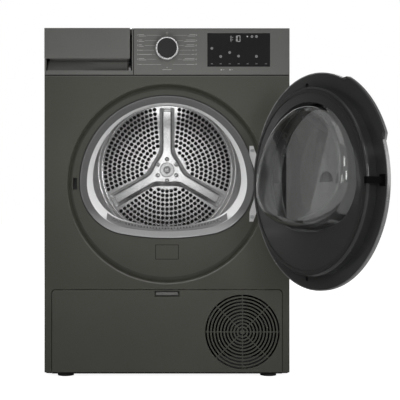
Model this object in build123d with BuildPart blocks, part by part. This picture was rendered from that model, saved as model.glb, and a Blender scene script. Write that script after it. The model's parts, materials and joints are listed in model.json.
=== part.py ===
from build123d import *
from math import acos, asin, atan2, cos, degrees, hypot, radians, sin, sqrt
import os

os.makedirs("parts", exist_ok=True)

# Front-loading heat pump clothes dryer, door standing open.
# Millimetres. The floor is Z = 0, X runs to the right seen from the front, Y to the back.

# Cabinet
width = 596.0
height = 850.0
depth = 564.0  # front panel to rear panel, without the duct cover
front_y = -300.0
sheet = 1.2
fold = 14.0  # depth of the folded edges
skirt_z = 12.6  # lower edge of the steel panels
emboss = 2.5  # stiffening field pressed into each side
emboss_margin = 75.0
top_t = 14.0
top_skin = 1.2
top_wall = 5.0
top_overhang = 8.0
fascia_h = 114.6
fascia_d = fold
fascia_skin = 4.0
fascia_wall = 3.0
fascia_round = 3.0
shadow_w = 1.2  # shadow line round the fascia pieces
shadow_d = 2.0
fascia_seam_x = -81.7  # joint between drawer surround and control fascia
flap_top = 214.6
leg_w = 17.0  # strips of the front panel beside the kick flap
touch = 0.05  # allowance between round pieces of one assembly
running = 0.05  # radial clearance of shafts and pins
seam = 0.6  # visible gap between fitted covers

# Door opening and recess
door_z = 472.0
recess_r = 242.0
recess_floor_r = 238.0
recess_d = 28.0
recess_lip = 3.0
recess_lip_d = 3.0
dish_t = 1.5
egg_rise = 2.0  # the opening sits this much above the recess centre
mouth_half = 212.0
mouth_corner = 125.0
mouth_drop = 133.0
bezel_proud = 4.0
bezel_d = 21.0
bezel_funnel = 13.5  # how far the bezel closes in over its depth
bezel_wall = 2.5
throat_half = 187.0
throat_corner = 105.0
throat_drop = 118.0
throat_rise = 12.0
throat_wall = 2.5

# Drum
drum_r = 280.0
drum_z = 522.0
drum_t = 0.8
drum_front_gap = 95.0  # front panel to the drum's open edge
drum_rear_gap = 28.2  # drum back to the rear face of the cabinet
perf_first_r = 63.4
perf_pitch_r = 13.5
perf_rows = 10
perf_pitch = 13.0
perf_r = 5.3
perf_land = 0.6  # least metal between a hole and a spider arm
bead_radii = (195.0, 206.0)
bead_r = 3.0
arm_w = 45.0
arm_flat_w = 24.0
arm_len = 187.0
arm_h = 8.0
hub_r = 48.0
rivet_ring_r = 32.0
rivet_r = 5.0
rivet_h = 2.5
boss_r = 22.0
dome_r = 11.0
shaft_r = 10.0
bearing_r = 22.0
lifter_h = 54.0
lifter_w = 70.0
lifter_top_w = 22.0
felt_gap = 0.3
felt_t = 13.0
seal_ring_w = 8.0
shield_gap = 10.0  # bulkhead plate to the drum's edge
shield_t = 3.0
shield_z = 236.0
roller_r = 25.0
roller_w = 20.0
roller_axle_r = 4.0
roller_angles = (235.0, 305.0)
belt_gap = 0.3

# Drive in the base
motor_x = 150.0
motor_z = 130.0
motor_r = 52.0
motor_y = (60.0, 190.0)
motor_wall = 12.0
motor_shaft_r = 8.0
pulley_r = 10.3
belt_y = 38.0
belt_w = 12.0
belt_t = 2.0
idler_r = 15.0
idler_along = 231.0  # place of the idler along the slack run
idler_axle_r = 4.0
pivot_x = 80.0
pivot_z = 70.0
fan_r = 66.0
fan_hole_r = 58.0
impeller_r = 56.0
fan_y = 206.0

# Base and feet
foot_h = 6.0
foot_r = 20.0
foot_pocket = 2.0  # room round a foot in the underside of the base
foot_inset_x = 48.0
foot_inset_y = 40.0
stud_r = 5.0
stud_len = 30.0
base_front_gap = 26.0
base_floor_t = 4.0
base_wall = 3.0
base_wall_h = 42.0

# Kick flap
flap_gap = 1.5
flap_z = 10.0
flap_skin = 2.5
flap_rim = 5.5
flap_corner = 8.6
flap_pin_r = 3.0
flap_pin_y = 10.0  # behind the front plane
flap_pin_z = 20.0
flap_lug_x = 200.0
flap_lug_w = 8.0
flap_rib_w = 3.0
flap_rib_gap = 5.0
grille_x = 183.4
grille_z = 111.3
grille_rings = 11
grille_pitch = 8.05
grille_slot = 4.2
grille_spoke = 2.5
button_w = 53.0
button_h = 8.0
button_t = 4.0
button_well_w = 61.0
button_well_h = 14.0

# Drawer and water tank
drawer_edge_x = -90.0
drawer_drop = 74.5  # heights of the drawer and the controls are drops below the top
drawer_proud = 3.0
drawer_t = 6.0
grip_bottom = 11.4  # strip of the surround below the grip
grip_d = 28.0
grip_rise = 12.5
tank_x = (-288.0, -94.0)
tank_wall = 2.5
tank_knee_x = -190.0
tank_low_drop = 94.0
tank_high_drop = 53.0
tank_top_drop = 34.5
tank_back_y = 170.0
lid_t = 2.5
inlet_r = 12.0
inlet_y = 140.0
runner_t = 2.2
runner_gap = 0.5

# Controls
knob_drop = 51.0
knob_r = 28.3
knob_ring_w = 4.3
knob_h = 20.0
knob_gap = 0.4
knob_stem_r = 4.0
display_x = (98.0, 250.7)
display_drop = (94.0, 12.3)
display_t = 2.5
display_lip = 8.0
display_fit = 0.15

# Lint filter
filter_half = 150.0
filter_depth = 72.0
filter_y = (-251.0, -222.0)
filter_gap = 0.6
filter_wall = 0.9
well_wall = 2.0

# Door leaf, measured from its hinge line
open_rest = 118.0
hinge_x = 224.0
hinge_y = -308.0
door_r = 240.0
rim_in = 5.0  # inner face of the door's rim, towards the drum
rim_out = 6.0
cover_t = 2.5
glass_r = 174.0
glass_depth = 31.0
glass_t = 4.0
glass_crown = 5.0
frame_t = 2.5
ring_r = 208.0
ring_h = 24.0
ring_wall = 9.4
ring_skin = 2.5
bowl_half = 172.0
bowl_corner = 97.0
bowl_drop = 112.0
bowl_wall = 5.0
bowl_top_d = 35.0
bowl_low_d = 74.0
bowl_lean = 18.0
bowl_round = 20.0
bowl_fit = 0.6
bowl_flange = 8.0
gasket_w = 6.0
gasket_t = 2.6
knuckle_r = 7.0
hinge_pin_r = 4.0
knuckle_half = 31.7
lug_w = 10.0
notch_u = 14.0
notch_half = 58.0
hook_u = 450.0
hook_top = 49.0
handle_r = 247.0
handle_from = 19.5
handle_to = 66.0
handle_edge = 2.5  # rim of the cover left showing round the handle

# Values worked out from the ones above
half_w = width / 2
inner_w = half_w - sheet
rear_y = front_y + depth
fascia_z = height - fascia_h
deck_z = height - top_t
floor_y = front_y + recess_d
bezel_back_y = floor_y - bezel_proud + bezel_d
egg_z = door_z + egg_rise
drum_front_y = front_y + drum_front_gap
drum_back_y = rear_y - drum_rear_gap
shield_y = drum_front_y - shield_gap
base_y = front_y + base_front_gap
floor_z = foot_h + base_floor_t
foot_x = half_w - foot_inset_x
foot_front_y = front_y + foot_inset_y
foot_rear_y = rear_y - foot_inset_y
flap_half = half_w - leg_w - flap_gap
well_half = filter_half + filter_gap + well_wall
drawer_z = height - drawer_drop
tank_low = height - tank_low_drop
tank_high = height - tank_high_drop
tank_top = height - tank_top_drop
knob_z = height - knob_drop
display_z = (height - display_drop[0], height - display_drop[1])


def keep(piece, name):
    """Name a finished piece and write it."""
    piece.part.label = name
    export_step(piece.part, f"parts/{name}.step")


def facing(y, x=0.0, z=0.0):
    """Plane across the depth at y, drawn as seen from the front; extrusions come forward."""
    return Plane(origin=(x, y, z), x_dir=(1, 0, 0), z_dir=(0, -1, 0))


def egg(half_width, corner, drop, mode=Mode.ADD):
    """Half circle above, tight corners and a shallow arc below, round the sketch's origin."""
    side = half_width - corner
    low_r = (side**2 + drop**2 - corner**2) / (2 * (drop - corner))
    turn = degrees(atan2(low_r - drop, side))
    with BuildLine() as edge:
        CenterArc((0, 0), half_width, 0, 180)
        CenterArc((-side, 0), corner, 180, turn)
        CenterArc((0, low_r - drop), low_r, 180 + turn, 180 - 2 * turn)
        CenterArc((side, 0), corner, -turn, turn)
    make_face(edge.line, mode=mode)


def mouth(inset):
    """The opening's outline, drawn in by an inset."""
    egg(mouth_half - inset, mouth_corner - inset, mouth_drop - inset)


def throat_end(outset):
    """The narrow end of the throat, let out by a wall."""
    egg(throat_half + outset, throat_corner + outset, throat_drop + outset)


def wrap(x1, z1, r1, x2, z2, r2, mode=Mode.ADD):
    """Two circles joined by their outer tangents, as a belt runs round them."""
    aim = degrees(atan2(z2 - z1, x2 - x1))
    spread = degrees(acos((r1 - r2) / hypot(x2 - x1, z2 - z1)))
    with BuildLine() as edge:
        first = CenterArc((x1, z1), r1, aim + spread, 360 - 2 * spread)
        second = CenterArc((x2, z2), r2, aim - spread, 2 * spread)
        Line(first @ 1, second @ 0)
        Line(second @ 1, first @ 0)
    make_face(edge.line, mode=mode)


def outline(*points):
    """A closed face through the given corners."""
    with BuildLine() as edge:
        Polyline(*points, close=True)
    make_face(edge.line)


def block(x, y, z, mode=Mode.ADD):
    """A box between pairs of limits."""
    with Locations(((x[0] + x[1]) / 2, (y[0] + y[1]) / 2, (z[0] + z[1]) / 2)):
        Box(abs(x[1] - x[0]), abs(y[1] - y[0]), abs(z[1] - z[0]), mode=mode)


def rod(x, z, radius, y_from, y_to, mode=Mode.ADD):
    """A cylinder along the depth."""
    with BuildSketch(facing(y_from, x, z)) as section:
        Circle(radius)
    extrude(section.sketch, amount=y_from - y_to, mode=mode)


# Base tray: floor, rim, foot bosses, flap lugs, motor cradle and drain spigot
spigot_x = -240.0
spigot_z = 34.0
spigot_r = 6.5
spigot_collar_r = 9.0
spigot_collar_out = 2.0
spigot_bore_r = 4.5
spigot_out = 24.0
boss_foot_r = 14.0
lug_r = 6.0
cradle_y = (72.0, 170.0)
cradle_t = 8.0
cradle_half = 60.0
cradle_top = motor_z - 15.0
flap_axis_y = front_y + flap_pin_y
foot_points = [(side * foot_x, y) for side in (-1, 1) for y in (foot_front_y, foot_rear_y)]
with BuildPart() as base_tray:
    block((-inner_w, inner_w), (base_y, rear_y - sheet), (foot_h, foot_h + base_wall_h))
    block(
        (-inner_w + base_wall, inner_w - base_wall),
        (base_y + base_wall, rear_y - sheet - base_wall),
        (floor_z, foot_h + base_wall_h),
        Mode.SUBTRACT,
    )
    for radius, rise, mode in (
        (boss_foot_r, stud_len, Mode.ADD),
        (foot_r + foot_pocket + base_wall, base_floor_t + base_wall, Mode.ADD),
        (foot_r + foot_pocket, base_floor_t, Mode.SUBTRACT),
        (stud_r + running, stud_len, Mode.SUBTRACT),
    ):
        with BuildSketch(Plane.XY.offset(foot_h)):
            with Locations(*foot_points):
                Circle(radius)
        extrude(amount=rise, mode=mode)
    # nothing of the front pockets stands ahead of the tray, where the flap swings
    block((-half_w, half_w), (front_y, base_y), (foot_h, foot_h + stud_len), Mode.SUBTRACT)
    for side in (-1, 1):
        with BuildSketch(Plane.YZ.offset(side * flap_lug_x - flap_lug_w / 2)):
            with Locations((flap_axis_y, flap_pin_z)):
                Circle(lug_r)
            with Locations(((flap_axis_y + base_y + 1) / 2, flap_pin_z)):
                Rectangle(base_y + 1 - flap_axis_y, 2 * lug_r)
            with Locations((flap_axis_y, flap_pin_z)):
                Circle(flap_pin_r + running, mode=Mode.SUBTRACT)
        extrude(amount=flap_lug_w)
    for y in cradle_y:
        with BuildSketch(facing(y + cradle_t)):
            outline(
                (pivot_x - 14, floor_z),
                (motor_x + cradle_half, floor_z),
                (motor_x + cradle_half, cradle_top),
                (pivot_x - 14, cradle_top),
            )
            with Locations((motor_x, motor_z)):
                Circle(motor_r + touch, mode=Mode.SUBTRACT)
        extrude(amount=cradle_t)
    rod(pivot_x, pivot_z, idler_axle_r, belt_y + belt_w / 2 + 3, cradle_y[0])
    spigot_y = (rear_y - sheet - base_wall, rear_y + spigot_out)
    rod(spigot_x, spigot_z, spigot_collar_r, spigot_y[0], rear_y + spigot_collar_out)
    rod(spigot_x, spigot_z, spigot_r, *spigot_y)
    rod(spigot_x, spigot_z, spigot_bore_r, *spigot_y, Mode.SUBTRACT)
keep(base_tray, "base_tray")

# Feet: two adjustable in front, a fixed pair behind
for name, side in (("foot_front_left", -1), ("foot_front_right", 1)):
    with BuildPart() as foot:
        with BuildSketch():
            with Locations((side * foot_x, foot_front_y)):
                Circle(foot_r)
        extrude(amount=floor_z)
        chamfer(foot.edges().group_by(Axis.Z)[-1], 1.5)
        with BuildSketch(Plane.XY.offset(floor_z)):
            with Locations((side * foot_x, foot_front_y)):
                Circle(stud_r)
        extrude(amount=foot_h + stud_len - 2 - floor_z)
    keep(foot, name)

with BuildPart() as rear_feet:
    with BuildSketch():
        with Locations((-foot_x, foot_rear_y), (foot_x, foot_rear_y)):
            Circle(foot_r)
    extrude(amount=floor_z)
    chamfer(rear_feet.edges().group_by(Axis.Z)[-1], 1.5)
    with BuildSketch(Plane.XY.offset(floor_z)):
        with Locations((-foot_x, foot_rear_y), (foot_x, foot_rear_y)):
            Circle(stud_r)
    extrude(amount=foot_h + stud_len - 2 - floor_z)
keep(rear_feet, "rear_feet")

# Side panels: bent front edge and a pressed stiffening field
side_front_y = front_y + fold
for name, side in (("left_side_panel", -1), ("right_side_panel", 1)):
    field_y = (side_front_y + rear_y) / 2
    field_w = rear_y - side_front_y - 2 * emboss_margin
    field_z = (skirt_z + deck_z) / 2
    field_h = deck_z - skirt_z - 2 * emboss_margin
    with BuildPart() as panel:
        with BuildSketch(Plane.XY.offset(skirt_z)):
            outline(
                (side * half_w, side_front_y),
                (side * half_w, rear_y),
                (side * inner_w, rear_y),
                (side * inner_w, side_front_y + sheet),
                (side * (half_w - fold), side_front_y + sheet),
                (side * (half_w - fold), side_front_y),
            )
        extrude(amount=deck_z - skirt_z)
        with BuildSketch(Plane.YZ.offset(side * inner_w)):
            with Locations((field_y, field_z)):
                RectangleRounded(field_w, field_h, 20)
        extrude(amount=-side * emboss)
        with BuildSketch(Plane.YZ.offset(side * half_w)):
            with Locations((field_y, field_z)):
                RectangleRounded(field_w - 4, field_h - 4, 18)
        extrude(amount=-side * emboss, mode=Mode.SUBTRACT)
        # the bent edge ends below the fascia, so that the drawer can pass
        block(
            (side * (half_w - fold), side * inner_w),
            (side_front_y, side_front_y + sheet),
            (fascia_z, deck_z),
            Mode.SUBTRACT,
        )
    keep(panel, name)

# Top panel, hollow below
with BuildPart() as top_panel:
    block((-half_w, half_w), (front_y + fascia_d, rear_y + top_overhang), (deck_z, height))
    fillet(top_panel.edges().filter_by(Axis.Z).sort_by(Axis.Y)[-2:], 12)
    fillet(top_panel.edges().group_by(Axis.Z)[-1].sort_by(Axis.Y)[1:], 3)
    block(
        (-half_w + top_wall, half_w - top_wall),
        (front_y + fascia_d + top_wall, rear_y - top_wall),
        (deck_z, height - top_skin),
        Mode.SUBTRACT,
    )
keep(top_panel, "top_panel")

# Rear panel with its air opening, four bearing arms and the bearing seat
gland_x = 255.0
gland_z = 62.0
gland_r = 9.0
gland_y = (rear_y - 12.0, rear_y + 14.0)
cord_r = 4.2
air_r = 200.0
air_arm_w = 30.0
air_arm_d = 5.0
bearing_seat_r = 30.0
seat_front = 16.0
seat_back = 10.0
screw_shank_r = 2.0
screw_head_r = 4.5
screw_head_h = 2.5
screw_rows = 5
screw_inset_x = 12.0
screw_inset_z = 45.0
rear_screw_points = []
for i in range(screw_rows):
    screw_z = skirt_z + screw_inset_z + i * (deck_z - skirt_z - 2 * screw_inset_z) / (screw_rows - 1)
    rear_screw_points += [(-inner_w + screw_inset_x, screw_z), (inner_w - screw_inset_x, screw_z)]
with BuildPart() as rear_panel:
    with BuildSketch(facing(rear_y)):
        with Locations((0, (skirt_z + deck_z) / 2)):
            Rectangle(2 * inner_w, deck_z - skirt_z)
        with Locations((0, drum_z)):
            Circle(air_r, mode=Mode.SUBTRACT)
        with Locations((motor_x, motor_z)):
            Circle(fan_hole_r, mode=Mode.SUBTRACT)
        with Locations((gland_x, gland_z)):
            Circle(gland_r, mode=Mode.SUBTRACT)
        with Locations((spigot_x, spigot_z)):
            Circle(spigot_collar_r + seam, mode=Mode.SUBTRACT)
        with Locations(*rear_screw_points):
            Circle(screw_shank_r + touch, mode=Mode.SUBTRACT)
    extrude(amount=sheet)
    with BuildSketch(facing(rear_y - sheet, z=drum_z)):
        with Locations(Location((0, 0), 45), Location((0, 0), 135)):
            Rectangle(2 * air_r + 20, air_arm_w)
    extrude(amount=-sheet - air_arm_d)
    rod(0, drum_z, bearing_seat_r, rear_y - seat_front, rear_y + seat_back)
    rod(0, drum_z, bearing_r + touch, rear_y - seat_front, rear_y + seat_back, Mode.SUBTRACT)
keep(rear_panel, "rear_panel")

with BuildPart() as rear_bearing:
    rod(0, drum_z, bearing_r, rear_y - seat_front, rear_y + seat_back)
    rod(0, drum_z, shaft_r + running, rear_y - seat_front, rear_y + seat_back, Mode.SUBTRACT)
keep(rear_bearing, "rear_bearing")

# Rear air duct: a shallow pan from the fan outlet up to the drum
duct_top_r = 226.0
duct_low_r = 72.0
duct_rim = 10.0
duct_d = 34.0
duct_wall = 1.5
with BuildPart() as rear_air_duct:
    with BuildSketch(facing(rear_y)):
        wrap(0, drum_z, duct_top_r, motor_x, motor_z, duct_low_r)
    extrude(amount=-duct_d)
    fillet(rear_air_duct.faces().sort_by(Axis.Y)[-1].edges(), 4)
    with BuildSketch(facing(rear_y)):
        wrap(0, drum_z, duct_top_r + duct_rim, motor_x, motor_z, duct_low_r + duct_rim)
    extrude(amount=-duct_wall)
    with BuildSketch(facing(rear_y)):
        wrap(0, drum_z, duct_top_r - duct_wall, motor_x, motor_z, duct_low_r - duct_wall)
    extrude(amount=-duct_d + duct_wall, mode=Mode.SUBTRACT)
    # raised ribs on the back
    with BuildSketch(facing(rear_y + duct_d - duct_wall)):
        with Locations((0, drum_z)):
            Circle(duct_top_r - 60)
            Circle(duct_top_r - 66, mode=Mode.SUBTRACT)
            Circle(duct_top_r - 130)
            Circle(duct_top_r - 136, mode=Mode.SUBTRACT)
    extrude(amount=-duct_wall - 2)
keep(rear_air_duct, "rear_air_duct")

with BuildPart() as cord_gland:
    rod(gland_x, gland_z, gland_r - touch, *gland_y)
    rod(gland_x, gland_z, gland_r + 5, rear_y, rear_y + 4)
    rod(gland_x, gland_z, cord_r, *gland_y, Mode.SUBTRACT)
keep(cord_gland, "cord_gland")

# Front panel: an inverted U with folded edges and the round door recess
latch_x = hinge_x - hook_u
latch_w = 10.0
latch_h = 28.0
cover_half_w = 28.5
cover_h = 36.2
cover_z = 304.0
cover_gap = 1.2
hinge_screw_x = hinge_x - 14.5
hinge_screw_rises = (-81.5, 81.5)
hinge_screw_r = 2.5
with BuildPart() as front_panel:
    with BuildSketch(facing(front_y)):
        outline(
            (-half_w, skirt_z),
            (-half_w, fascia_z),
            (half_w, fascia_z),
            (half_w, skirt_z),
            (half_w - leg_w, skirt_z),
            (half_w - leg_w, flap_top),
            (-half_w + leg_w, flap_top),
            (-half_w + leg_w, skirt_z),
        )
        with Locations((0, door_z)):
            Circle(recess_r + recess_lip, mode=Mode.SUBTRACT)
    extrude(amount=-sheet)
    fold_y = (front_y, side_front_y)
    for side in (-1, 1):
        leg_x = side * (half_w - leg_w)
        block((side * half_w, side * inner_w), fold_y, (skirt_z, fascia_z))
        block((leg_x, leg_x + side * sheet), fold_y, (skirt_z, flap_top + sheet))
    block((-half_w + leg_w, half_w - leg_w), fold_y, (flap_top, flap_top + sheet))
    block((-half_w, half_w), fold_y, (fascia_z - sheet, fascia_z))
    upright = front_panel.edges().filter_by(Axis.Z).filter_by_position(Axis.Y, front_y, front_y)
    fillet(upright.group_by(Axis.X)[0] + upright.group_by(Axis.X)[-1], 1)
    with BuildSketch(Plane.XY.offset(door_z)):
        outline(
            (recess_r + recess_lip, front_y),
            (recess_r, front_y + recess_lip_d),
            (recess_floor_r, floor_y),
            (0, floor_y),
            (0, floor_y + dish_t),
            (recess_floor_r + sheet, floor_y + dish_t),
            (recess_r + sheet, front_y + recess_lip_d + sheet),
            (recess_r + recess_lip, front_y + sheet),
        )
    revolve(axis=Axis((0, 0, door_z), (0, 1, 0)))
    with BuildSketch(facing(floor_y + dish_t, z=egg_z)):
        mouth(0)
    extrude(amount=dish_t, mode=Mode.SUBTRACT)
    with BuildSketch(facing(floor_y + dish_t)):
        with Locations((latch_x, door_z)):
            Rectangle(latch_w, latch_h)
        with Locations((0, cover_z)):
            Rectangle(2 * cover_half_w, cover_h)
        with Locations(*[(hinge_screw_x, door_z + rise) for rise in hinge_screw_rises]):
            Circle(hinge_screw_r + touch)
    extrude(amount=dish_t, mode=Mode.SUBTRACT)
keep(front_panel, "front_panel")

with BuildPart() as service_cover:
    block(
        (-cover_half_w + cover_gap, cover_half_w - cover_gap),
        (floor_y - 0.6, floor_y + dish_t),
        (cover_z - cover_h / 2 + cover_gap, cover_z + cover_h / 2 - cover_gap),
    )
    block(
        (-cover_half_w - 4, cover_half_w + 4),
        (floor_y + dish_t, floor_y + 2 * dish_t),
        (cover_z - cover_h / 2 - 4, cover_z + cover_h / 2 + 4),
    )
keep(service_cover, "service_cover")

lock_wall = 1.5
with BuildPart() as door_lock:
    lock_y = (floor_y + dish_t, floor_y + dish_t + 26)
    lock_x = (latch_x - latch_w / 2 - 8, latch_x + latch_w / 2 + lock_wall)
    block(lock_x, lock_y, (door_z - latch_h / 2 - 12, door_z + latch_h / 2 + 12))
    block(
        (latch_x - latch_w / 2, latch_x + latch_w / 2),
        (lock_y[0], lock_y[1] - 4),
        (door_z - latch_h / 2, door_z + latch_h / 2),
        Mode.SUBTRACT,
    )
keep(door_lock, "door_lock")

# Opening bezel: a funnel ring snapped into the recess floor
bezel_front_y = floor_y - bezel_proud
bezel_lip = 2.0
bezel_gap = 0.5
with BuildPart() as opening_bezel:
    with BuildSketch(facing(bezel_front_y, z=egg_z)):
        mouth(-bezel_lip)
    with BuildSketch(facing(bezel_back_y, z=egg_z)):
        mouth(bezel_funnel - bezel_wall)
    loft()
    with BuildSketch(facing(floor_y + dish_t, z=egg_z)):
        mouth(-bezel_lip)
    extrude(amount=-bezel_wall)
    with BuildSketch(facing(bezel_front_y, z=egg_z)):
        mouth(bezel_gap)
    with BuildSketch(facing(bezel_back_y, z=egg_z)):
        mouth(bezel_funnel)
    loft(mode=Mode.SUBTRACT)
keep(opening_bezel, "opening_bezel")

# Drum front shield: bulkhead plate, throat, felt flange, filter well and roller axles
throat_front_y = bezel_back_y + bezel_gap
throat_z = door_z + throat_rise
felt_r = drum_r - drum_t - felt_gap
flange_r = felt_r - felt_t
flange_wall = 3.0
flange_len = 25.0
well_z = 232.0
well_low_x = 73.0
well_knee_z = 285.0
well_top_z = egg_z - mouth_drop + 60.0
well_y = (filter_y[0] - filter_gap - well_wall, shield_y - shield_t)
slot_half = filter_half + filter_gap
roller_y = (drum_front_y + 5.0, drum_front_y + 5.0 + roller_w)
roller_reach = drum_r + roller_r + felt_gap
roller_places = []
for angle in roller_angles:
    roller_places.append((roller_reach * cos(radians(angle)), drum_z + roller_reach * sin(radians(angle))))


def throat(wall, mode):
    """The throat's funnel from the bezel back to the drum."""
    with BuildSketch(facing(throat_front_y, z=egg_z)) as wide_end:
        mouth(bezel_funnel - wall)
    with BuildSketch(facing(shield_y, z=throat_z)) as narrow_end:
        throat_end(wall)
    loft([wide_end.sketch, narrow_end.sketch], mode=mode)


with BuildPart() as drum_front_shield:
    block((-inner_w, inner_w), (shield_y - shield_t, shield_y), (shield_z, fascia_z - 6))
    rod(0, drum_z, flange_r, shield_y, shield_y + flange_len)
    rod(0, drum_z, flange_r - flange_wall, shield_y, shield_y + flange_len, Mode.SUBTRACT)
    with BuildSketch(facing(well_y[1])):
        outline(
            (-well_half, well_z),
            (well_low_x, well_z),
            (well_half, well_knee_z),
            (well_half, well_top_z),
            (-well_half, well_top_z),
        )
    extrude(amount=well_y[1] - well_y[0])
    throat(throat_wall, Mode.ADD)
    throat(0, Mode.SUBTRACT)
    with BuildSketch(facing(filter_y[1] + filter_gap)):
        outline(
            (-slot_half, well_z - 1),
            (well_low_x - well_wall, well_z - 1),
            (slot_half, well_knee_z + well_wall),
            (slot_half, well_top_z),
            (-slot_half, well_top_z),
        )
    extrude(amount=filter_y[1] - filter_y[0] + 2 * filter_gap, mode=Mode.SUBTRACT)
    for x, z in roller_places:
        rod(x, z, roller_axle_r + 3, shield_y, roller_y[0] - 0.5)
        rod(x, z, roller_axle_r, shield_y, roller_y[1] + 4)
        rod(x, z, roller_axle_r + 3, roller_y[1] + 0.5, roller_y[1] + 3)
keep(drum_front_shield, "drum_front_shield")

# Felt seals: one round the front flange, one on the rear panel
with BuildPart() as felt_seals:
    rod(0, drum_z, felt_r, drum_front_y - 4, shield_y + flange_len - 2)
    rod(0, drum_z, flange_r + touch, drum_front_y - 4, shield_y + flange_len - 2, Mode.SUBTRACT)
    rod(0, drum_z, air_r + 6 + seal_ring_w, drum_back_y + felt_gap, rear_y - sheet)
    rod(0, drum_z, air_r + 6, drum_back_y + felt_gap, rear_y - sheet, Mode.SUBTRACT)
keep(felt_seals, "felt_seals")

# Lint filter: a grille that continues the throat's floor, over a fine-walled box
grille_slots = 36
grille_slot_pitch = 7.6
grille_slot_w = 4.0
grille_slot_len = 12.0
cap_h = 120.0  # height of the cutting block for the cap
filter_finger_x = 23.0
filter_finger_w = 20.0
filter_mid_y = (filter_y[0] + filter_y[1]) / 2
filter_low_z = egg_z - mouth_drop + bezel_funnel - filter_depth + 9
filter_box_half = filter_half - 4
with BuildPart() as filter_cap:
    throat(throat_wall, Mode.ADD)
    throat(0, Mode.SUBTRACT)
    cut_z = well_top_z - cap_h / 2
    with Locations((0, filter_mid_y, cut_z)):
        Box(2 * filter_half, filter_y[1] - filter_y[0], cap_h, mode=Mode.INTERSECT)
    with Locations((0, filter_mid_y + 4, cut_z)):
        with GridLocations(grille_slot_pitch, 1, grille_slots, 1):
            Box(grille_slot_w, grille_slot_len, 2 * cap_h, mode=Mode.SUBTRACT)
    with Locations(*[(side * filter_finger_x, filter_y[0] + 6, cut_z) for side in (-1, 1)]):
        Box(filter_finger_w, 6, 2 * cap_h, mode=Mode.SUBTRACT)

with BuildPart() as filter_frame:
    block(
        (-filter_box_half, filter_box_half),
        (filter_y[0] + 2, filter_y[1] - 2),
        (filter_low_z, well_top_z),
    )
    block(
        (-filter_box_half + filter_wall, filter_box_half - filter_wall),
        (filter_y[0] + 2 + filter_wall, filter_y[1] - 2 - filter_wall),
        (filter_low_z + filter_wall, well_top_z),
        Mode.SUBTRACT,
    )
    for x in (-filter_box_half / 2, 0, filter_box_half / 2):
        block(
            (x - filter_wall, x + filter_wall),
            (filter_y[0] + 2, filter_y[1] - 2),
            (filter_low_z, well_top_z),
        )
    throat(throat_wall, Mode.SUBTRACT)
    block((-half_w, half_w), filter_y, (egg_z - mouth_drop + 30, well_top_z), Mode.SUBTRACT)
    add(filter_cap.part)
keep(filter_frame, "lint_filter")

# Support rollers under the drum's front edge
for name, (x, z) in zip(("left_roller", "right_roller"), roller_places):
    with BuildPart() as roller:
        rod(x, z, roller_r, *roller_y)
        chamfer(roller.edges(), 1)
        rod(x, z, roller_axle_r + running, *roller_y, Mode.SUBTRACT)
    keep(roller, name)

# Drum: shell, perforated back, spider, lifters and shaft
spider_angles = (90.0, 210.0, 330.0)
drum_floor_y = drum_back_y - drum_t
perf_points = []
for row in range(perf_rows):
    row_r = perf_first_r + row * perf_pitch_r
    step = perf_pitch / row_r
    room = radians(60) - (arm_w / 2 + perf_r + perf_land) / row_r
    count = int(room / step)
    for centre in (30.0, 150.0, 270.0):
        for i in range(-count, count + 1):
            a = radians(centre) + i * step
            perf_points.append((row_r * cos(a), row_r * sin(a)))

with BuildPart() as drum_shell:
    rod(0, drum_z, drum_r, drum_front_y, drum_back_y)
    rod(0, drum_z, drum_r - drum_t, drum_front_y, drum_back_y, Mode.SUBTRACT)
keep(drum_shell, "drum_shell")

with BuildPart() as drum_back:
    with BuildSketch(facing(drum_back_y, z=drum_z)):
        Circle(drum_r - drum_t - touch)
        Circle(shaft_r + touch, mode=Mode.SUBTRACT)
        with Locations(*perf_points):
            Circle(perf_r, mode=Mode.SUBTRACT)
    extrude(amount=drum_t)
    for r in bead_radii:
        with BuildSketch(Plane.XY.offset(drum_z)):
            with Locations((r, drum_floor_y)):
                Circle(bead_r)
            with Locations((r, drum_floor_y + bead_r)):
                Rectangle(4 * bead_r, 2 * bead_r, mode=Mode.SUBTRACT)
        revolve(axis=Axis((0, 0, drum_z), (0, 1, 0)))
keep(drum_back, "drum_back")

with BuildPart() as drum_spider:
    with BuildSketch(facing(drum_floor_y, z=drum_z)):
        Circle(hub_r)
    with BuildSketch(facing(drum_floor_y - arm_h, z=drum_z)):
        Circle(hub_r - 6)
    loft()
    for angle in spider_angles:
        along = (cos(radians(angle)), 0, sin(radians(angle)))
        arm_plane = Plane(origin=(0, drum_floor_y, drum_z), x_dir=along, z_dir=(0, -1, 0))
        with BuildSketch(arm_plane):
            with Locations((arm_len / 2, 0)):
                Rectangle(arm_len, arm_w)
        with BuildSketch(arm_plane.offset(arm_h / 2)):
            with Locations((arm_len / 2 - 4, 0)):
                Rectangle(arm_len - 8, (arm_w + arm_flat_w) / 2)
        loft()
        with BuildSketch(arm_plane.offset(arm_h / 2)):
            with Locations((arm_len / 2 - 9, 0)):
                Rectangle(arm_len - 18, (arm_w + arm_flat_w) / 2)
        with BuildSketch(arm_plane.offset(arm_h)):
            with Locations((arm_len / 2 - 12, 0)):
                Rectangle(arm_len - 24, arm_flat_w)
        loft()
    with BuildSketch(facing(drum_floor_y - arm_h, z=drum_z)):
        with PolarLocations(rivet_ring_r, 6, 90):
            Circle(rivet_r)
    extrude(amount=rivet_h, taper=20)
    rod(0, drum_z, shaft_r + touch, drum_floor_y - arm_h, drum_floor_y, Mode.SUBTRACT)
keep(drum_spider, "drum_spider")

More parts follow.
